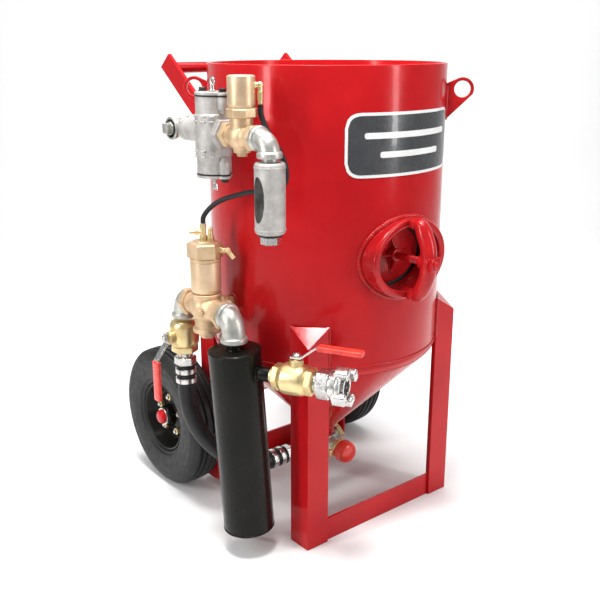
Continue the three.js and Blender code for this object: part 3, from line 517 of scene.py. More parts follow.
radii = [PORT_R + (head_r - PORT_R) * k / 24 for k in range(25)]
head = [(r, head_z(r) - WALL) for r in radii] + [(r, head_z(r)) for r in reversed(radii)]
head = Piece().turned(head, sides=128, soft=1, closed=True)
head.done("filling_head", ENAMEL, "top_head")
port_z = head_z(PORT_R)
seat = Piece().ring(PORT_R - 1, 30, port_z - 10, port_z + 4, soft=4)
seat.done("filling_seat", RUBBER, "fill_port_seat")
lift_z = port_z - 50
popup = Piece().turned([(0, lift_z - 110), (10, lift_z - 110), (10, lift_z - 14), (38, lift_z - 12),
                        (38, lift_z - 4), (0, lift_z + 36)], soft=3)
popup.done("popup_cone", RUBBER, "popup_valve", body="filling_valve")
dress("air_inlet_pipe", GALVANISED, 0.5)

cone_low = CONE_TOP_Z - 32 - (CONE_TOP_R - OUTLET_R)
cone = [(OUTLET_R - WALL, OUTLET_Z), (OUTLET_R, OUTLET_Z), (OUTLET_R, cone_low),
        (CONE_TOP_R, CONE_TOP_Z - 32), (300, CONE_TOP_Z - 21), (SHELL_R, CONE_TOP_Z - 10),
        (SHELL_R, CONE_TOP_Z), (SHELL_R - WALL, CONE_TOP_Z), (SHELL_R - WALL, CONE_TOP_Z - 9),
        (CONE_TOP_R - 5, CONE_TOP_Z - 28), (OUTLET_R - WALL, cone_low + 3)]
cone = Piece().turned(cone, sides=160, soft=9, closed=True)
cone.done("cone", ENAMEL, "bottom_cone")

welds = Piece()
welds.weld(circle(SHELL_R - 0.2, CONE_TOP_Z + 1), 2.6, True)
welds.weld(circle(head_r - 1, HEAD_RIM_Z + 3), 4.5, True)
welds.weld(circle(OUTLET_R + 1, cone_low + 1, 60), 3.5, True)
welds.weld([on_shell(math.radians(62), z) for z in range(485, 1192, 8)], 2.2)
collar_a, collar_b = HAND_A + HAND_WALL, HAND_B + HAND_WALL
collar_foot = [
    Vector((p.x, -math.sqrt((SHELL_R + 1) ** 2 - p.x**2), p.z))
    for p in oval(collar_a + 2, collar_b + 2, 0, 140)
]
welds.weld(collar_foot, 6.5, True)
for sx in (-1, 1):
    for sy in (-1, 1):
        inner = LEG_CORNER - LEG_SIZE
        spread_x, spread_y = FRONT_SPREAD if sy < 0 else (0, 0)
        for a, b in ((inner, LEG_CORNER - 3), (LEG_CORNER - 3, inner)):
            foot = Vector((sx * (a + spread_x), sy * (b - spread_y), 0))
            foot = foot.normalized() * (SHELL_R + 2)
            welds.weld([foot + Z * z for z in range(CONE_TOP_Z + 2, LEG_TOP + 1, 6)], 5.5)
    for side in (-1, 1):
        x = sx * (ARM_X + side * 6)
        y = math.sqrt((SHELL_R + 1) ** 2 - x**2)
        welds.weld([Vector((x, y, z)) for z in range(1058, 1105, 6)], 4.5)
for heading in LUG_HEADINGS.values():
    out = on_shell(heading, 0, 1)
    across = Z.cross(out)
    for side in (-1, 1):
        edge = out * (SHELL_R + 1) + across * side * 7
        welds.weld([edge + Z * z for z in range(LUG_Z - 76, LUG_Z + 12, 6)], 4.5)
welds.weld(loop_round(Vector((-SHELL_R - 1, 0, PIPE_Z)), Y, Z, 19, 40), 5, True)
tee_foot = Vector((-math.sqrt(SHELL_R**2 - TEE_Y**2) - 1, TEE_Y, EX_Z))
welds.weld(loop_round(tee_foot, Y, Z, 20, 40), 5, True)
welds.done("weld_beads", ENAMEL_ROUGH, angle=60)

# ---- Badge: a blank rounded panel that follows the shell ----
BADGE_HALF, BADGE_RISE, BADGE_Z, BADGE_HEADING = 186, 74, 1022, math.radians(-88)


def badge(name, half, rise, stand, material, corner, z=BADGE_Z):
    """Rounded panel on the shell, in upright columns; stand is how far its face is out."""
    outline = fillet([(-half, -rise), (half, -rise), (half, rise), (-half, rise)], corner, True, 8)
    piece = Piece()
    bm, columns = piece.bm, 64
    layers = []
    for r in (SHELL_R + stand - 0.8, SHELL_R + stand):
        rows = []
        for k in range(columns + 1):
            a = -half + 2 * half * k / columns
            a = max(-half + 0.4, min(half - 0.4, a))
            hits = []
            for p, q in zip(outline, outline[1:] + outline[:1]):
                if (p.x - a) * (q.x - a) <= 0 and abs(q.x - p.x) > 1e-9:
                    hits.append(p.y + (q.y - p.y) * (a - p.x) / (q.x - p.x))
            heading = BADGE_HEADING + a / SHELL_R
            ends = (min(hits), max(hits))
            rows.append([bm.verts.new(on_shell(heading, z + h, r)) for h in ends])
        layers.append(rows)
    back, front = layers
    for k in range(columns):
        bm.faces.new([front[k][0], front[k + 1][0], front[k + 1][1], front[k][1]])
        bm.faces.new([back[k][1], back[k + 1][1], back[k + 1][0], back[k][0]])
        for side in (0, 1):
            bm.faces.new([back[k][side], back[k + 1][side], front[k + 1][side], front[k][side]])
    for k in (0, columns):
        bm.faces.new([back[k][0], back[k][1], front[k][1], front[k][0]])
    piece.done(name, material)


badge("badge_edge", BADGE_HALF, BADGE_RISE, 1.0, BADGE_EDGE, 40)
badge("badge_face", BADGE_HALF - 7, BADGE_RISE - 7, 1.5, BADGE_FACE, 34)
for k, z in enumerate((BADGE_Z + 22, BADGE_Z - 22)):
    badge(f"badge_stripe_{k + 1}", BADGE_HALF - 46 - 40 * k, 7, 2.0, BADGE_EDGE, 6, z)

# ---- Handhole ----
THREAD_FROM, THREAD_PITCH, THREADS, BOLT_END = -330, 2.3, 34, -412
YOKE_FOOT, YOKE_TOP_Y, YOKE_R = 88, -385, 19.5
collar = Piece()
collar_profile = fillet([(0, HAND_BACK), (HAND_WALL, HAND_BACK), (HAND_WALL, HAND_FRONT),
                         (0, HAND_FRONT)], 7, True, 6)
collar.loft([oval(HAND_A + d, HAND_B + d, y) for d, y in collar_profile], True)
collar.done("collar", ENAMEL_ROUGH, "handhole_collar", angle=50)
gasket_back = HAND_BACK + GAP + 3
gasket_profile = fillet([(-5, HAND_BACK + GAP), (13, HAND_BACK + GAP), (13, gasket_back),
                         (-5, gasket_back)], 1, True)
gasket = Piece().loft([oval(HAND_A + d, HAND_B + d, y) for d, y in gasket_profile], True)
gasket.done("cover_gasket", RUBBER, "handhole_gasket", body="cover")
cover_y = gasket_back + GAP
cover = Piece()
face = fillet([(0, cover_y - 7), (HAND_A - 9, cover_y - 6), (HAND_A - 8, cover_y),
               (HAND_A + 14, cover_y), (HAND_A + 14, cover_y + 11), (0, cover_y + 11)], 2.5)
cover.loft([
    [Vector((HAND_X, y, HAND_Z))] if d < 1e-6 else oval(d, max(d - (HAND_A - HAND_B), d * 0.7), y)
    for d, y in face
])
hand = Vector((HAND_X, 0, HAND_Z))
cover_centre = hand + Y * cover_y
for direction in (X, -X, Z, -Z):
    cover.plate([(8, 1), (58, 1), (14, -26), (8, -26)], 7, cover_centre, direction, Y, edge=1.5)
    side = Y.cross(direction)
    for s in (-1, 1):
        seam = [cover_centre + direction * d - Y * 6.5 + side * s * 4 for d in range(12, 56, 4)]
        cover.weld(seam, 2.6)
cover.rod(17, -30, 0, cover_centre, Y, soft=4)
bolt = [(0, cover_y - 1), (9.5, cover_y - 1)]
for k in range(THREADS):
    y = THREAD_FROM - k * THREAD_PITCH
    bolt += [(9.6, y), (8.6, y - THREAD_PITCH / 2)]
bolt += [(9, BOLT_END + 3), (6.5, BOLT_END), (0, BOLT_END)]
cover.turned(bolt, hand, Y, 32, 0)
cover.done("hand_cover", ENAMEL_ROUGH, "handhole_cover", body="cover", angle=50)

yoke_half = [(YOKE_FOOT, HAND_FRONT - 8), (YOKE_FOOT - 4, HAND_FRONT - 26), (62, YOKE_TOP_Y + 16),
             (34, YOKE_TOP_Y + 5)]
yoke_line = [*yoke_half, (0, YOKE_TOP_Y + 2), *[(-z, y) for z, y in reversed(yoke_half)]]
yoke_line = catmull([(HAND_X, y, HAND_Z + z) for z, y in yoke_line])
yoke = Piece()
yoke.pipe(yoke_line, lambda s: YOKE_R * (0.72 + 0.28 * min(1, 5 * min(s, 1 - s))), 32)
for s in (-1, 1):
    yoke.block((34, 20, 17), (HAND_X, HAND_FRONT - 9, HAND_Z + s * YOKE_FOOT), X, Y, 3)
yoke.ring(19, 11, -26, 6, hand + Y * -368, Y, soft=2)
yoke.done("yoke_bar", ENAMEL_ROUGH, "handhole_yoke", body="yoke", angle=45)
nut = Piece().ring(21, 10.4, YOKE_TOP_Y - 13, YOKE_TOP_Y - 9.4, hand, Y, soft=1)
nut.hexagon(32, YOKE_TOP_Y - 22, YOKE_TOP_Y - 12, hand, Y, sides=4)
nut.done("yoke_nut", ENAMEL_ROUGH, "handhole_nut", body="cover_nut")

# ---- Legs, rails, axle, handle, lugs ----
for node in ("left_front_leg", "right_front_leg", "left_rear_leg", "right_rear_leg",
             "front_foot_rail", "rear_foot_rail", "left_handle_arm", "right_handle_arm"):
    dress(node, ENAMEL)
grip_end = ARM_X - 5.3
grip = Piece().rod(GRIP_R, -grip_end, grip_end, Vector((0, GRIP_Y, GRIP_Z)), X)
for s in (-1, 1):
    end = Vector((s * (grip_end - 1), GRIP_Y, GRIP_Z))
    grip.weld(loop_round(end, Y, Z, GRIP_R + 1, 36), 3.5, True)
grip.done("push_bar", ENAMEL, "handle_grip")
for side, heading in LUG_HEADINGS.items():
    outward = on_shell(heading, 0, 1)
    eye = [(SHELL_R + GAP, LUG_Z + 14), (SHELL_R + GAP, LUG_Z - 77)]
    eye += [(LUG_REACH + LUG_R * math.cos(t), LUG_Z + LUG_R * math.sin(t))
            for t in [-0.45 + 2.55 * k / 24 for k in range(25)]]
    hole = [(LUG_REACH + LUG_HOLE * math.cos(t), LUG_Z + LUG_HOLE * math.sin(t))
            for t in angles(48)]
    lug = Piece().plate(eye, LUG_THICK, O, outward, Z, [hole], 1.5)
    lug.done(f"{side}_lug", ENAMEL_ROUGH, f"{side}_lifting_lug")
axle = Piece().rod(AXLE_R, -AXLE_HALF, AXLE_HALF, Vector((0, WHEEL_Y, WHEEL_R)), X, soft=2.5)
axle.done("axle_bar", STEEL, "axle")

# ---- Wheels ----
WHEEL_NUTS, WHEEL_NUT_CIRCLE, WHEEL_NUT_TURN = 5, 54, 0.3
for side, sx in (("left", -1), ("right", 1)):
    centre, out = Vector((sx * WHEEL_X, WHEEL_Y, WHEEL_R)), X * sx
    body, r, h = f"{side}_wheel", WHEEL_R, WHEEL_HALF
    wall = [(RIM_R + 1, 34), (RIM_R + 5, 40), (RIM_R + 10, 40), (RIM_R + 14, 45),
            (RIM_R + 30, 47.5), (r - 52, h), (r - 48, h), (r - 36, h - 0.6), (r - 33, h - 0.2),
            (r - 18, h - 4), (r - 8, h - 11)]
    tread = [(r - 3, 33), (r - 2, 29), (r - 7, 28), (r - 7, 24), (r - 1, 23), (r - 0.5, 13),
             (r - 6, 12), (r - 6, 8), (r, 7)]
    tyre = wall + tread
    tyre += [(a, -b) for a, b in reversed(tyre)]
    tyre = Piece().turned(tyre, centre, out, 96, 2.5, True)
    tyre.done(f"{side}_tyre_skin", TYRE, f"{side}_tyre", body=body)
    rim = Piece()
    rim.turned([(13, -38), (28, -38), (28, -6), (70, -10), (RIM_R - 8, -34), (RIM_R + 0.7, -33),
                (RIM_R + 0.7, 33), (RIM_R - 1, 36), (RIM_R - 6, 36), (RIM_R - 10, 28),
                (RIM_R - 16, 16), (RIM_R - 24, 2), (72, -2), (60, 2), (44, 2), (30, 6), (30, 26),
                (26, 32), (13, 32)], centre, out, 96, 3, True)
    rim.done(f"{side}_rim", BLACK, f"{side}_wheel_rim", body=body)
    nuts, studs = Piece(), Piece()
    for t in angles(WHEEL_NUTS):
        a = t + WHEEL_NUT_TURN
        across, high = WHEEL_NUT_CIRCLE * math.cos(a), WHEEL_NUT_CIRCLE * math.sin(a)
        where = centre + Vector((0, across, high))
        nuts.hexagon(19, 2, 14, where, out)
        studs.rod(5.5, 0, 19, where, out, 20)
    nuts.done(f"{side}_wheel_nuts", BRASS, body=body)
    studs.done(f"{side}_wheel_studs", STEEL, body=body)
    Piece().ring(26, 20, 26, 36, centre, out).done(f"{side}_hub_ring", STEEL, body=body)
    cap = Piece().turned([(0, 30), (21, 30), (21, 42), (16, 48), (0, 50)], centre, out, 48, 3)
    cap.done(f"{side}_dust_cap", ENAMEL, body=body)


# ---- Exhaust line ----
def ex(y, z=EX_Z):
    return Vector((EX_X, y, z))


def elbow(corner, a, b, reach_a, reach_b, r):
    """Cast elbow with a thick bead at each mouth."""
    piece = Piece()
    start, end = corner + a * reach_a, corner + b * reach_b
    shares = [k / 16 for k in range(1, 16)]
    line = [start * (1 - t) ** 2 + corner * 2 * t * (1 - t) + end * t * t for t in shares]
    piece.pipe([corner + a * (reach_a - 1), *line, corner + b * (reach_b - 1)], r, 36)
    for way, reach in ((a, reach_a), (b, reach_b)):
        piece.turned([(0, reach - 15), (r, reach - 15), (r + 4.6, reach - 11), (r + 4.6, reach),
                      (0, reach)], corner, way, 40, 2.2)
    return piece


tee = Piece()
for way in (X, -X, -Y):
    tee.rod(23, 0, 30, ex(TEE_Y), way)
    tee.turned([(0, 17), (23, 17), (27.4, 21), (27.4, 30), (0, 30)], ex(TEE_Y), way, 40, 2)
tee.ball(23.5, ex(TEE_Y))
tee.done("tee_casting", GALVANISED, "exhaust_tee")
plug = Piece().rod(16, 0, 34, ex(TEE_Y), -X)
plug.hexagon(24, 32, 46, ex(TEE_Y), -X, sides=4)
plug.done("tee_plug", GALVANISED)
stub = Piece().rod(17, 0, -EX_X - 285, ex(TEE_Y), X)
stub.done("tee_nipple", DARK_STEEL, slot="galvanised")

trap_low, trap_high = 957, 1132
TRAP_LID_R, EAR_REACH = 41, 41.3
ears = [ex(TRAP_Y + s * EAR_REACH, 0) for s in (-1, 1)]
trap = Piece().rod(40, trap_low, trap_high, ex(TRAP_Y, 0), Z, 64, 2)
trap.turned([(40, trap_low + 38), (42.5, trap_low + 41), (42.5, trap_high - 41),
             (40, trap_high - 38), (38, trap_high - 38), (38, trap_low + 38)],
            ex(TRAP_Y, 0), Z, 64, 2, True)
for ear in ears:
    trap.turned([(0, trap_high - 40), (6, trap_high - 40), (13, trap_high - 28),
                 (13, trap_high - 0.4), (0, trap_high - 0.4)], ear, Z, 32, 2)
    trap.turned([(0, trap_low + 0.4), (13, trap_low + 0.4), (13, trap_low + 28),
                 (6, trap_low + 40), (0, trap_low + 40)], ear, Z, 32, 2)
trap.rod(27, -42, TEE_Y - 30.3 - TRAP_Y, ex(TRAP_Y), Y, soft=2)
trap.hexagon(64, 37, 56, ex(TRAP_Y), -Y, up=Z)
for height in (-52, -40, 26, 38):
    for heading in (-2.25, -2.75, 2.95):
        out = Vector((math.cos(heading), math.sin(heading), 0))
        trap.block((13, 9, 5), ex(TRAP_Y, EX_Z + height) + out * 41, Z.cross(out), Z, 1.6)
trap.done("trap_casting", ALUMINIUM, "trap_body")
for name, z, way in (("top", trap_high, Z), ("bottom", trap_low, -Z)):
    lid = Piece().ring(TRAP_LID_R, 5.6, 2.4, 9, ex(TRAP_Y, z), way, 64)
    for ear in ears:
        lid.rod(14, 2.4, 9, ear + Z * z, way)
    lid.done(f"trap_{name}_lid", ALUMINIUM, f"trap_{name}_cover", slot="steel")
    seal = Piece().ring(TRAP_LID_R + 0.5, 8, 0.3, 2.4, ex(TRAP_Y, z), way, 64, 0.5)
    for ear in ears:
        seal.rod(14.4, 0.3, 2.4, ear + Z * z, way, soft=0.5)
    seal.done(f"trap_{name}_seal", RUBBER)
    bolts = Piece()
    for ear in ears:
        bolts.hexagon(15, 9.5, 18, ear + Z * z, way)
        bolts.rod(10.5, 9, 10.5, ear + Z * z, way, soft=0.4)
    bolts.done(f"trap_{name}_bolts", DARK_STEEL)
    screw = Piece().rod(5, 0.3, 26, ex(TRAP_Y, z), way, 24)
    screw.ring(8, 4, 9.3, 14, ex(TRAP_Y, z), way, 24)
    head_at = ex(TRAP_Y, z) + way * 32
    if name == "top":
        screw.ring(10, 5, -2.5, 2.5, head_at, X, 36, 2)
    else:
        wing = fillet([(-7, -9), (7, -9), (11, 9), (3, 7), (-3, 7), (-11, 9)], 3, True)
        screw.plate(wing, 4, head_at, Y, way, edge=1.2)
    screw.done(f"trap_{name}_thumbscrew", STEEL, f"trap_{name}_screw", body=f"{name}_trap_screw")

valve_y = TRAP_Y - 56 - GAP
neck_z, cylinder_top, hose_z = 1112, 1181, 1160
start = Vector((EX_X, valve_y, EX_Z))
outlet = Piece()
outlet.hexagon(53, 0, 20, start, -Y, up=Z)
outlet.hexagon(53, 94, 113, start, -Y, up=Z)
outlet.turned([(0, 14), (25, 14), (23, 24), (26, 36), (26, 78), (23, 88), (25, 98), (0, 98)],
              start, -Y, 48, 5)
outlet.ball(33, ex(OUT_Y))
outlet.turned([(0, 0), (29, 0), (26, 24), (26, neck_z - EX_Z - 18), (0, neck_z - EX_Z - 18)],
              ex(OUT_Y), Z, 48, 4)
outlet.hexagon(66, neck_z - EX_Z - 22, neck_z - EX_Z, ex(OUT_Y), Z, sides=8)
outlet.turned([(0, 0), (24, 20), (20, 28), (20, 36), (0, 36)], ex(OUT_Y), -Z, 40, 3)
outlet.hexagon(22, 34, 44, ex(OUT_Y), -Z)
outlet.done("outlet_casting", BRONZE, "outlet_valve_body")
hose_start = Vector(CONTROL_HOSE_ROUTE[0])
corner = Vector((hose_start.x + 1, hose_start.y + 3, hose_z))
boss = ex(OUT_Y, hose_z)
cylinder = Piece().turned([(0, neck_z + GAP), (29, neck_z + GAP), (31, neck_z + 6),
                           (31, cylinder_top - 2), (26, cylinder_top), (0, cylinder_top)],
                          ex(OUT_Y, 0), Z, 64, 1.2)
cylinder.done("outlet_cylinder", BRONZE_TURNED, "outlet_valve_cylinder")
fitting = Piece().rod(6, 20, (corner - boss).length, boss, corner - boss, 24)
fitting.hexagon(14, 26, 33, boss, corner - boss)
fitting.ball(7.5, corner)
fitting.rod(6, 0, hose_z - hose_start.z - 1, corner, -Z, 24)
fitting.hexagon(13, 14, 32, corner, -Z)
fitting.done("outlet_hose_elbow", BRASS)
street = elbow(ex(MUFFLER_Y), Y, -Z, -MUFFLER_Y + valve_y - 113 - GAP, 38, 23.5)
street.rod(17, 36, 46, ex(MUFFLER_Y), -Z)
street.done("exhaust_elbow_casting", GALVANISED, "exhaust_elbow")
muffler_low, muffler_high = 847, EX_Z - 46 - GAP
muffler = Piece().turned([(0, muffler_low), (29, muffler_low), (34, muffler_low + 5),
                          (34, muffler_high - 5), (30, muffler_high), (0, muffler_high)],
                         ex(MUFFLER_Y, 0), Z, 64, 3)
muffler.ring(34.8, 32, muffler_low + 9, muffler_low + 13, ex(MUFFLER_Y, 0), Z, 64)
muffler.ring(34.8, 32, muffler_high - 13, muffler_high - 9, ex(MUFFLER_Y, 0), Z, 64)
muffler.done("muffler_casting", ALUMINIUM, "muffler_body")
LABEL_Z, LABEL_RISE, LABEL_HEADING = 925, 50, math.radians(-178)
rows = []
for k in range(13):
    bend = (k / 12 - 0.5) * 0.95
    tall = LABEL_RISE * math.sqrt(max(0.02, 1 - (2 * bend) ** 2))
    heading = LABEL_HEADING + bend
    c, s = math.cos(heading), math.sin(heading)
    rows.append([Vector((EX_X + r * c, MUFFLER_Y + r * s, LABEL_Z + up * tall))
                 for r, up in ((33.2, -1), (34.7, -1), (34.7, 1), (33.2, 1))])
Piece().loft(rows).done("muffler_label", DARK_STEEL, slot="black_paint")
gasket = Piece().rod(27.5, muffler_low - 4, muffler_low - GAP, ex(MUFFLER_Y, 0), Z)
gasket.done("muffler_gasket", RUBBER)
plug = Piece().hexagon(39, muffler_low - 23, muffler_low - 4, ex(MUFFLER_Y, 0), Z)
plug.done("muffler_hex", NICKEL, "muffler_plug")


# ---- Main air line ----
def main_at(y, z=PIPE_Z):
    return Vector((MAIN_X, y, z))


port = 84
valve = Piece().turned([(0, -port), (27, -port), (27, -40), (34, -26), (38, 0), (34, 26), (27, 40),
                        (27, port), (0, port)], main_at(0), Y, 56, 8)
valve.ball(39.5, main_at(0))
for way in (Y, -Y):
    valve.hexagon(65, port - 20, port - 1, main_at(0), way, up=Z)
valve.hexagon(47, 20, 44, main_at(0), X, up=Z)
front_boss = Vector((-0.8, -0.6, 0))
valve.turned([(0, 30), (15, 30), (13, 43), (0, 43)], main_at(0), front_boss, 32, 2)
valve.hexagon(15, 42, 49, main_at(0), front_boss)
valve.turned([(0, 0), (37, 0), (34, 26), (38, 32), (38, 40), (0, 40)], main_at(0), Z, 56, 3)
valve.turned([(0, 0), (31, 0), (31, 46), (36, 50), (36, 60), (0, 60)], main_at(0), -Z, 56, 2)
valve.hexagon(36, 60, 76, main_at(0), -Z)
valve.done("main_casting", BRONZE, "main_valve_body")
cyl_top = 740
cyl_low = PIPE_Z + 40 + GAP
cylinder = Piece().turned([(0, cyl_low), (33, cyl_low), (37, PIPE_Z + 48), (37.5, PIPE_Z + 56),
                           (37.5, cyl_top), (0, cyl_top)], main_at(0, 0), Z, 64, 1.5)
cylinder.done("main_cylinder", BRONZE_TURNED, "main_valve_cylinder")
hose_end = Vector(CONTROL_HOSE_ROUTE[-1])
cap_top = 790
cap_side = Vector((0.62, -0.78, 0)).normalized()
cap = Piece().rod(38, cyl_top + GAP, cyl_top + 8, main_at(0, 0), Z, 56)
cap.hexagon(77, cyl_top + 7, cap_top - 3, main_at(0, 0), Z)
cap.turned([(0, cap_top - 4), (22, cap_top - 4), (20, cap_top), (0, cap_top)],
           main_at(0, 0), Z, 56, 1)
cap.done("main_cap", BRONZE, "main_valve_cap", slot="brass")
end = Vector((hose_end.x, hose_end.y, 0))
fittings = Piece().rod(7, cap_top - 2, hose_end.z - 1, end, Z, 24)
fittings.hexagon(17, cap_top - 1, cap_top + 12, end, Z)
fittings.hexagon(14, hose_end.z - 12, hose_end.z - 2, end, Z)
tap = end + Z * (cap_top + 20)
tap_way = Vector((-0.8, 0.6, 0))
fittings.rod(4.5, 0, 34, tap, tap_way, 20)
fittings.hexagon(13, 10, 20, tap, tap_way)
second = main_at(-8, 0) + X * 12
fittings.hexagon(17, cap_top - 4, cap_top + 9, second, Z)
fittings.turned([(0, cap_top + 8), (7.5, cap_top + 8), (5, cap_top + 24), (6.5, cap_top + 27),
                 (4, cap_top + 33), (0, cap_top + 33)], second, Z, 24, 1)
bleed_from = main_at(0, 768)
bleed = bleed_from + cap_side * 58
fittings.rod(6, 26, 58, bleed_from, cap_side, 24)
fittings.hexagon(14, 38, 47, bleed_from, cap_side)
fittings.ball(7.5, bleed)
fittings.rod(5.5, 0, 24, bleed, Vector((0.5, -0.4, -0.9)), 24)
fittings.done("main_cap_fittings", BRASS)
nipple_from = -MAIN_X - 44 - GAP
nipple = Piece().rod(16, -nipple_from, -296, Z * PIPE_Z, X)
nipple.hexagon(42, -nipple_from, -nipple_from + 16, Z * PIPE_Z, X, up=Z)
nipple.done("main_nipple", BRASS, "main_valve_nipple")
bend = elbow(main_at(FRONT_Y), Y, -Z, -FRONT_Y - port - GAP, 58, 28.5)
bend.done("separator_elbow_casting", GALVANISED, "separator_elbow")
bend = elbow(main_at(REAR_Y), -Y, -Z, REAR_Y - port - GAP, 50, 25.5)
bend.done("pusher_elbow_casting", GALVANISED, "pusher_elbow")

# Moisture separator
hang = Vector((0.775 * math.sin(SEP_LEAN), -0.632 * math.sin(SEP_LEAN), -math.cos(SEP_LEAN)))
sep_top = main_at(FRONT_Y, SEP_TOP)
inlet_way = Vector((math.cos(INLET_ANGLE), math.sin(INLET_ANGLE), 0))
inlet_at = main_at(FRONT_Y, INLET_Z)
separator = Piece()
separator.turned([(0, -13), (17, -13), (17, 0), (SEP_R - 3, 0), (SEP_R, 3),
                  (SEP_R, SEP_LENGTH - 14), (SEP_R - 22, SEP_LENGTH - 3), (0, SEP_LENGTH)],
                 sep_top, hang, 96, 5)
separator.rod(18, 50, INLET_REACH - 66, inlet_at, inlet_way)
u, v, _ = axes(inlet_way)
separator.weld(loop_round(inlet_at + inlet_way * 62.5, u, v, 18.5, 40), 4.5, True)
u, v, _ = axes(hang)
for reach, r, bead in ((1, 18.5, 4.5), (4, SEP_R - 1.5, 2.6), (SEP_LENGTH - 13, SEP_R - 1.5, 2.6)):
    separator.weld(loop_round(sep_top + hang * reach, u, v, r, 90), bead, True)
separator.done("separator_body", BLACK, "separator_tank", angle=50)


# ---- Ball valves ----
VALVE_END = 47 + GAP  # from a valve's centre to the next piece


def ball_valve(label, centre, axis, stem, start=-66):
    """Valve with its lever along the axis; start is where its inlet mouth begins."""
    body = Piece()
    body.hexagon(59, start + 9, -39, centre, axis, up=stem)
    body.rod(18, start, -54, centre, axis)
    body.turned([(0, -42), (29, -42), (38, -30), (38.5, 0), (38, 20), (31, 30), (0, 30)],
                centre, axis, 56, 6)
    body.rod(30, -38, -35, centre, axis, 56, 1)
    body.hexagon(61, 27, 47, centre, axis, up=stem)
    body.turned([(0, 0), (20, 20), (17, 40), (17, 50), (0, 50)], centre, stem, 40, 2)
    body.hexagon(22, 44, 51, centre, stem)
    body.done(f"{label}_valve_casting", BRASS, f"{label}_valve_body")
    arm = f"{label}_valve_lever"
    lever = Piece()
    strap = fillet([(-13, 54), (14, 54), (52, 84), (154, 84), (154, 88), (50, 88), (12, 58),
                    (-13, 58)], 3, True)
    lever.plate(strap, 20, centre, axis, stem, edge=0.8)
    lever.rod(6.5, 51, 66, centre, stem, 24)
    lever.hexagon(17, 58, 65, centre, stem)
    lever.done(f"{label}_lever_strap", NICKEL, f"{label}_lever", body=arm, slot="steel")
    sleeve = Piece()
    section = fillet([(-6.6, -14), (6.6, -14), (6.6, 14), (-6.6, 14)], 6, True, 5)
    levels = [(56, 0.93), (57.5, 1.0), (60, 1.02), (64, 0.98), (148, 0.98), (158, 1.0), (162, 0.9),
              (164, 0.7)]
    sleeve.prism(section, levels, centre + stem * 86, axis, stem)
    sleeve.done(f"{label}_lever_sleeve", VINYL, f"{label}_grip", body=arm, angle=50)


ball_valve("inlet", inlet_at + inlet_way * INLET_REACH, inlet_way, Z)
ball_valve("pusher", main_at(REAR_Y, PUSHER_Z), -Z, -X, -48)

# Four-lug air coupling
claw_start = inlet_at + inlet_way * (INLET_REACH + VALVE_END)
coupling = Piece().ring(22, 12, 0, 10, claw_start, inlet_way)
coupling.hexagon(65, 8, 42, claw_start, inlet_way, up=Z)
coupling.ring(32, 21, 40, 58, claw_start, inlet_way, 48, 2)
coupling.turned([(21, 56), (36, 56), (44, 62), (44, 71), (40, 73), (21, 73)],
                claw_start, inlet_way, 56, 2.5, True)
coupling.ring(27, 20, 70, 79, claw_start, inlet_way, 48, 2)
for turn in (0.4, 1.97, 3.54, 5.11):
    side = (Matrix.Rotation(turn, 3, inlet_way) @ Z).normalized()
    across = inlet_way.cross(side)
    claw = claw_start + inlet_way * 72 + side * 42
    lip = claw_start + inlet_way * 83 + side * 38 + across * 7
    coupling.block((20, 27, 34), claw, side, inlet_way, 3.5)
    coupling.block((17, 12, 12), lip, side, inlet_way, 3)
coupling.done("air_coupling", NICKEL, "inlet_coupling")


# ---- Pusher hose, metering valve, blast coupling ----
def hose_end_fitting(name, end, way):
    """Rubber ferrule over the hose's end, and two steel bands on it."""
    r = PUSHER_HOSE_R + 2
    sleeve = Piece().turned([(0, -5), (r, -5), (r, 50), (r - 1, 52), (0, 52)], end, way, 48, 1)
    sleeve.done(f"{name}_ferrule", RUBBER)
    clamp = Piece()
    for lo in (6, 32):
        clamp.ring(r + 2.2, r - 1, lo, lo + 13, end, way, 56, 1)
    clamp.done(f"{name}_bands", NICKEL, slot="steel")


hose_top, hose_low = Vector(PUSHER_HOSE_ROUTE[0]), Vector(PUSHER_HOSE_ROUTE[-1])
adapter = Piece().hexagon(51, 4, 27, hose_top, Z)
adapter.rod(19, 1, PUSHER_Z - VALVE_END - hose_top.z, hose_top, Z)
adapter.done("hose_adapter_hex", NICKEL, "hose_adapter")
hose_end_fitting("top", hose_top, -Z)
hose_end_fitting("low", hose_low, -X)
lower = Piece().hexagon(45, 3, 24, hose_low, X)
lower.rod(17, 0, -METER_REACH - GAP - hose_low.x, hose_low, X)
lower.done("hose_fitting_hex", NICKEL, "hose_fitting")

meter = Z * METER_Z
plug_way = Vector((0.82, -0.25, 0.4)).normalized()
meter_top = OUTLET_Z - METER_Z - GAP
body = Piece().turned([(0, 4), (33, 4), (36, 12), (36, meter_top), (0, meter_top)], meter, Z, 56, 3)
body.ball(34, meter)
body.turned([(0, 0), (24, 0), (24, 46), (28, 50), (28, METER_REACH), (0, METER_REACH)],
            meter, -X, 48, 2)
body.rod(24, 0, 58, meter, -Y, 48, 2)
body.rod(18, 0, 48, meter, plug_way, soft=2)
body.turned([(0, 0), (20, 0), (17, METER_REACH), (0, METER_REACH)], meter, Y, 40, 2)
body.done("metering_casting", GALVANISED, "metering_valve_body")
Piece().hexagon(40, 46, 60, meter, plug_way).done("metering_plug", BRASS)
knob = Piece().rod(8, METER_REACH + GAP, 74, meter, Y)
lobes = [(25 + 2 * math.cos(8 * t), t) for t in angles(96)]
knob.prism([(r * math.cos(t), r * math.sin(t)) for r, t in lobes],
           [(72, 0.84), (74, 0.95), (77, 1), (90, 1), (93, 0.95), (95, 0.84)], meter, Y)
knob.done("metering_handwheel", BLACK, "metering_knob", body="knob")
blast = Piece().hexagon(49, 58.3, 72, meter, -Y, up=Z)
blast.ring(24, 15, 60, 104, meter, -Y, soft=1)
blast.ring(30, 15, 72, 79, meter, -Y, soft=2)
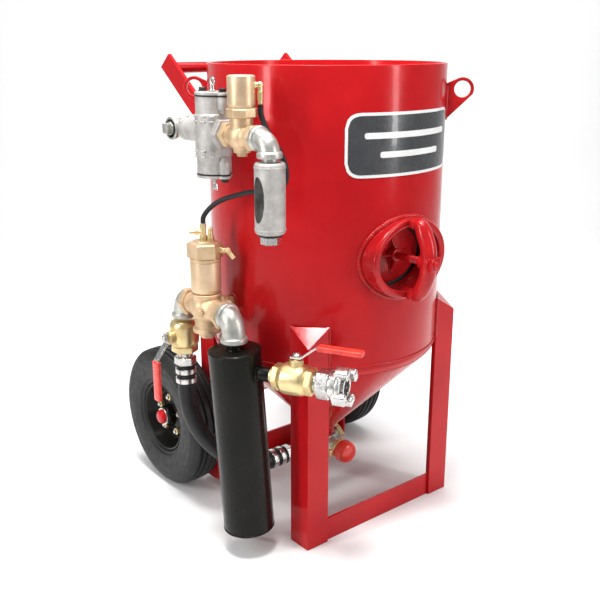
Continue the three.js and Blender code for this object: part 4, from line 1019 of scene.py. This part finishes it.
blast.block((84, 10, 18), meter - Y * 75.3, X, Z, 2.5)
blast.done("blast_coupling", BRASS, "blast_hose_coupling")
cap = Piece().turned([(24.3, 82), (29, 82), (32, 85), (31, 104), (26, 112), (14, 116), (0, 117),
                      (0, 104.9), (24.3, 104.9)], meter, -Y, 56, 3.5)
cap.done("vinyl_cap", VINYL, "coupling_cap", body="cap")


def hose(name, route, r, node):
    """Rubber cord along the CAD route, in place of the CAD node."""
    line = catmull(route)
    curve = bpy.data.curves.new(name, "CURVE")
    curve.dimensions = "3D"
    curve.bevel_depth, curve.bevel_resolution, curve.use_fill_caps = r * MM, 8, True
    spline = curve.splines.new("POLY")
    spline.points.add(len(line) - 1)
    for slot, p in zip(spline.points, line):
        slot.co = (*at(*p), 1)
    spline.use_smooth = True
    curve.materials.append(RUBBER)
    piece = linked(name, curve)
    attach(piece, "tank")
    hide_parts(node)
    round(length_of(line) * MM, 3)


hose("pusher_line", PUSHER_HOSE_ROUTE, PUSHER_HOSE_R, "pusher_hose")
hose("control_line", CONTROL_HOSE_ROUTE, CONTROL_HOSE_R, "control_hose")


# ---- Floor, lights, world; metres ----
FLOOR_NEAR, FLOOR_FAR, BEND_R, WALL_TOP, HALF_WIDTH = -4.5, 3.2, 1.6, 4.2, 6


def sweep():
    """Floor that curves up into a backdrop behind the pot, seen from the camera."""
    away = CAMERA_HEADING.normalized()
    side = Z.cross(away)
    bm = bmesh.new()
    bend = [math.pi / 2 * k / 16 for k in range(17)]
    profile = [(FLOOR_NEAR, 0)]
    profile += [(FLOOR_FAR + BEND_R * math.sin(t), BEND_R - BEND_R * math.cos(t)) for t in bend]
    profile += [(FLOOR_FAR + BEND_R, WALL_TOP)]
    edges = (-HALF_WIDTH, HALF_WIDTH)
    rows = [[bm.verts.new(away * d + side * w + Z * (h - 0.0005)) for w in edges]
            for d, h in profile]
    for a, b in zip(rows, rows[1:]):
        bm.faces.new([a[0], a[1], b[1], b[0]])
    bmesh.ops.recalc_face_normals(bm, faces=bm.faces)
    mesh = bpy.data.meshes.new("floor")
    bm.to_mesh(mesh)
    bm.free()
    mesh.polygons.foreach_set("use_smooth", [True] * len(mesh.polygons))
    mesh.materials.append(surface("pale_floor", (0.83, 0.83, 0.83), (0.81, 0.81, 0.81),
                                  (0.6, 0.7), patch=1, grain=(60, 0.02, 0.0005)))
    linked("floor", mesh)


sweep()


def softbox(name, where, target, size, power):
    lamp = bpy.data.lights.new(name, "AREA")
    lamp.shape, lamp.energy = "RECTANGLE", power
    lamp.size, lamp.size_y = size
    holder = linked(name, lamp)
    holder.location = where
    holder.rotation_euler = (Vector(target) - Vector(where)).to_track_quat("-Z", "Y").to_euler()


softbox("overhead", (-0.2, -0.2, 3.4), (0, 0, 0.4), (2.4, 1.8), 75)
softbox("ceiling_lamp", (-0.75, -0.6, 3.3), (-0.3, -0.4, 0.5), (0.5, 0.5), 62)
softbox("left_window", (-3.0, 0.2, 1.9), (0, 0, 0.6), (0.35, 2.2), 55)
softbox("right_window", (1.3, -3.0, 1.6), (0, 0, 0.6), (0.35, 2.0), 40)
softbox("backdrop_wash", (0.4, 0.6, 3.6), (2.6, 3.2, 0.8), (3.0, 1.2), 150)
world = bpy.data.worlds.new("studio")
world.use_nodes = True
background = world.node_tree.nodes["Background"]
background.inputs["Color"].default_value = (1, 1, 1, 1)
background.inputs["Strength"].default_value = 0.33
bpy.context.scene.world = world
bpy.context.scene.view_settings.view_transform = "Standard"

bpy.context.view_layer.update()
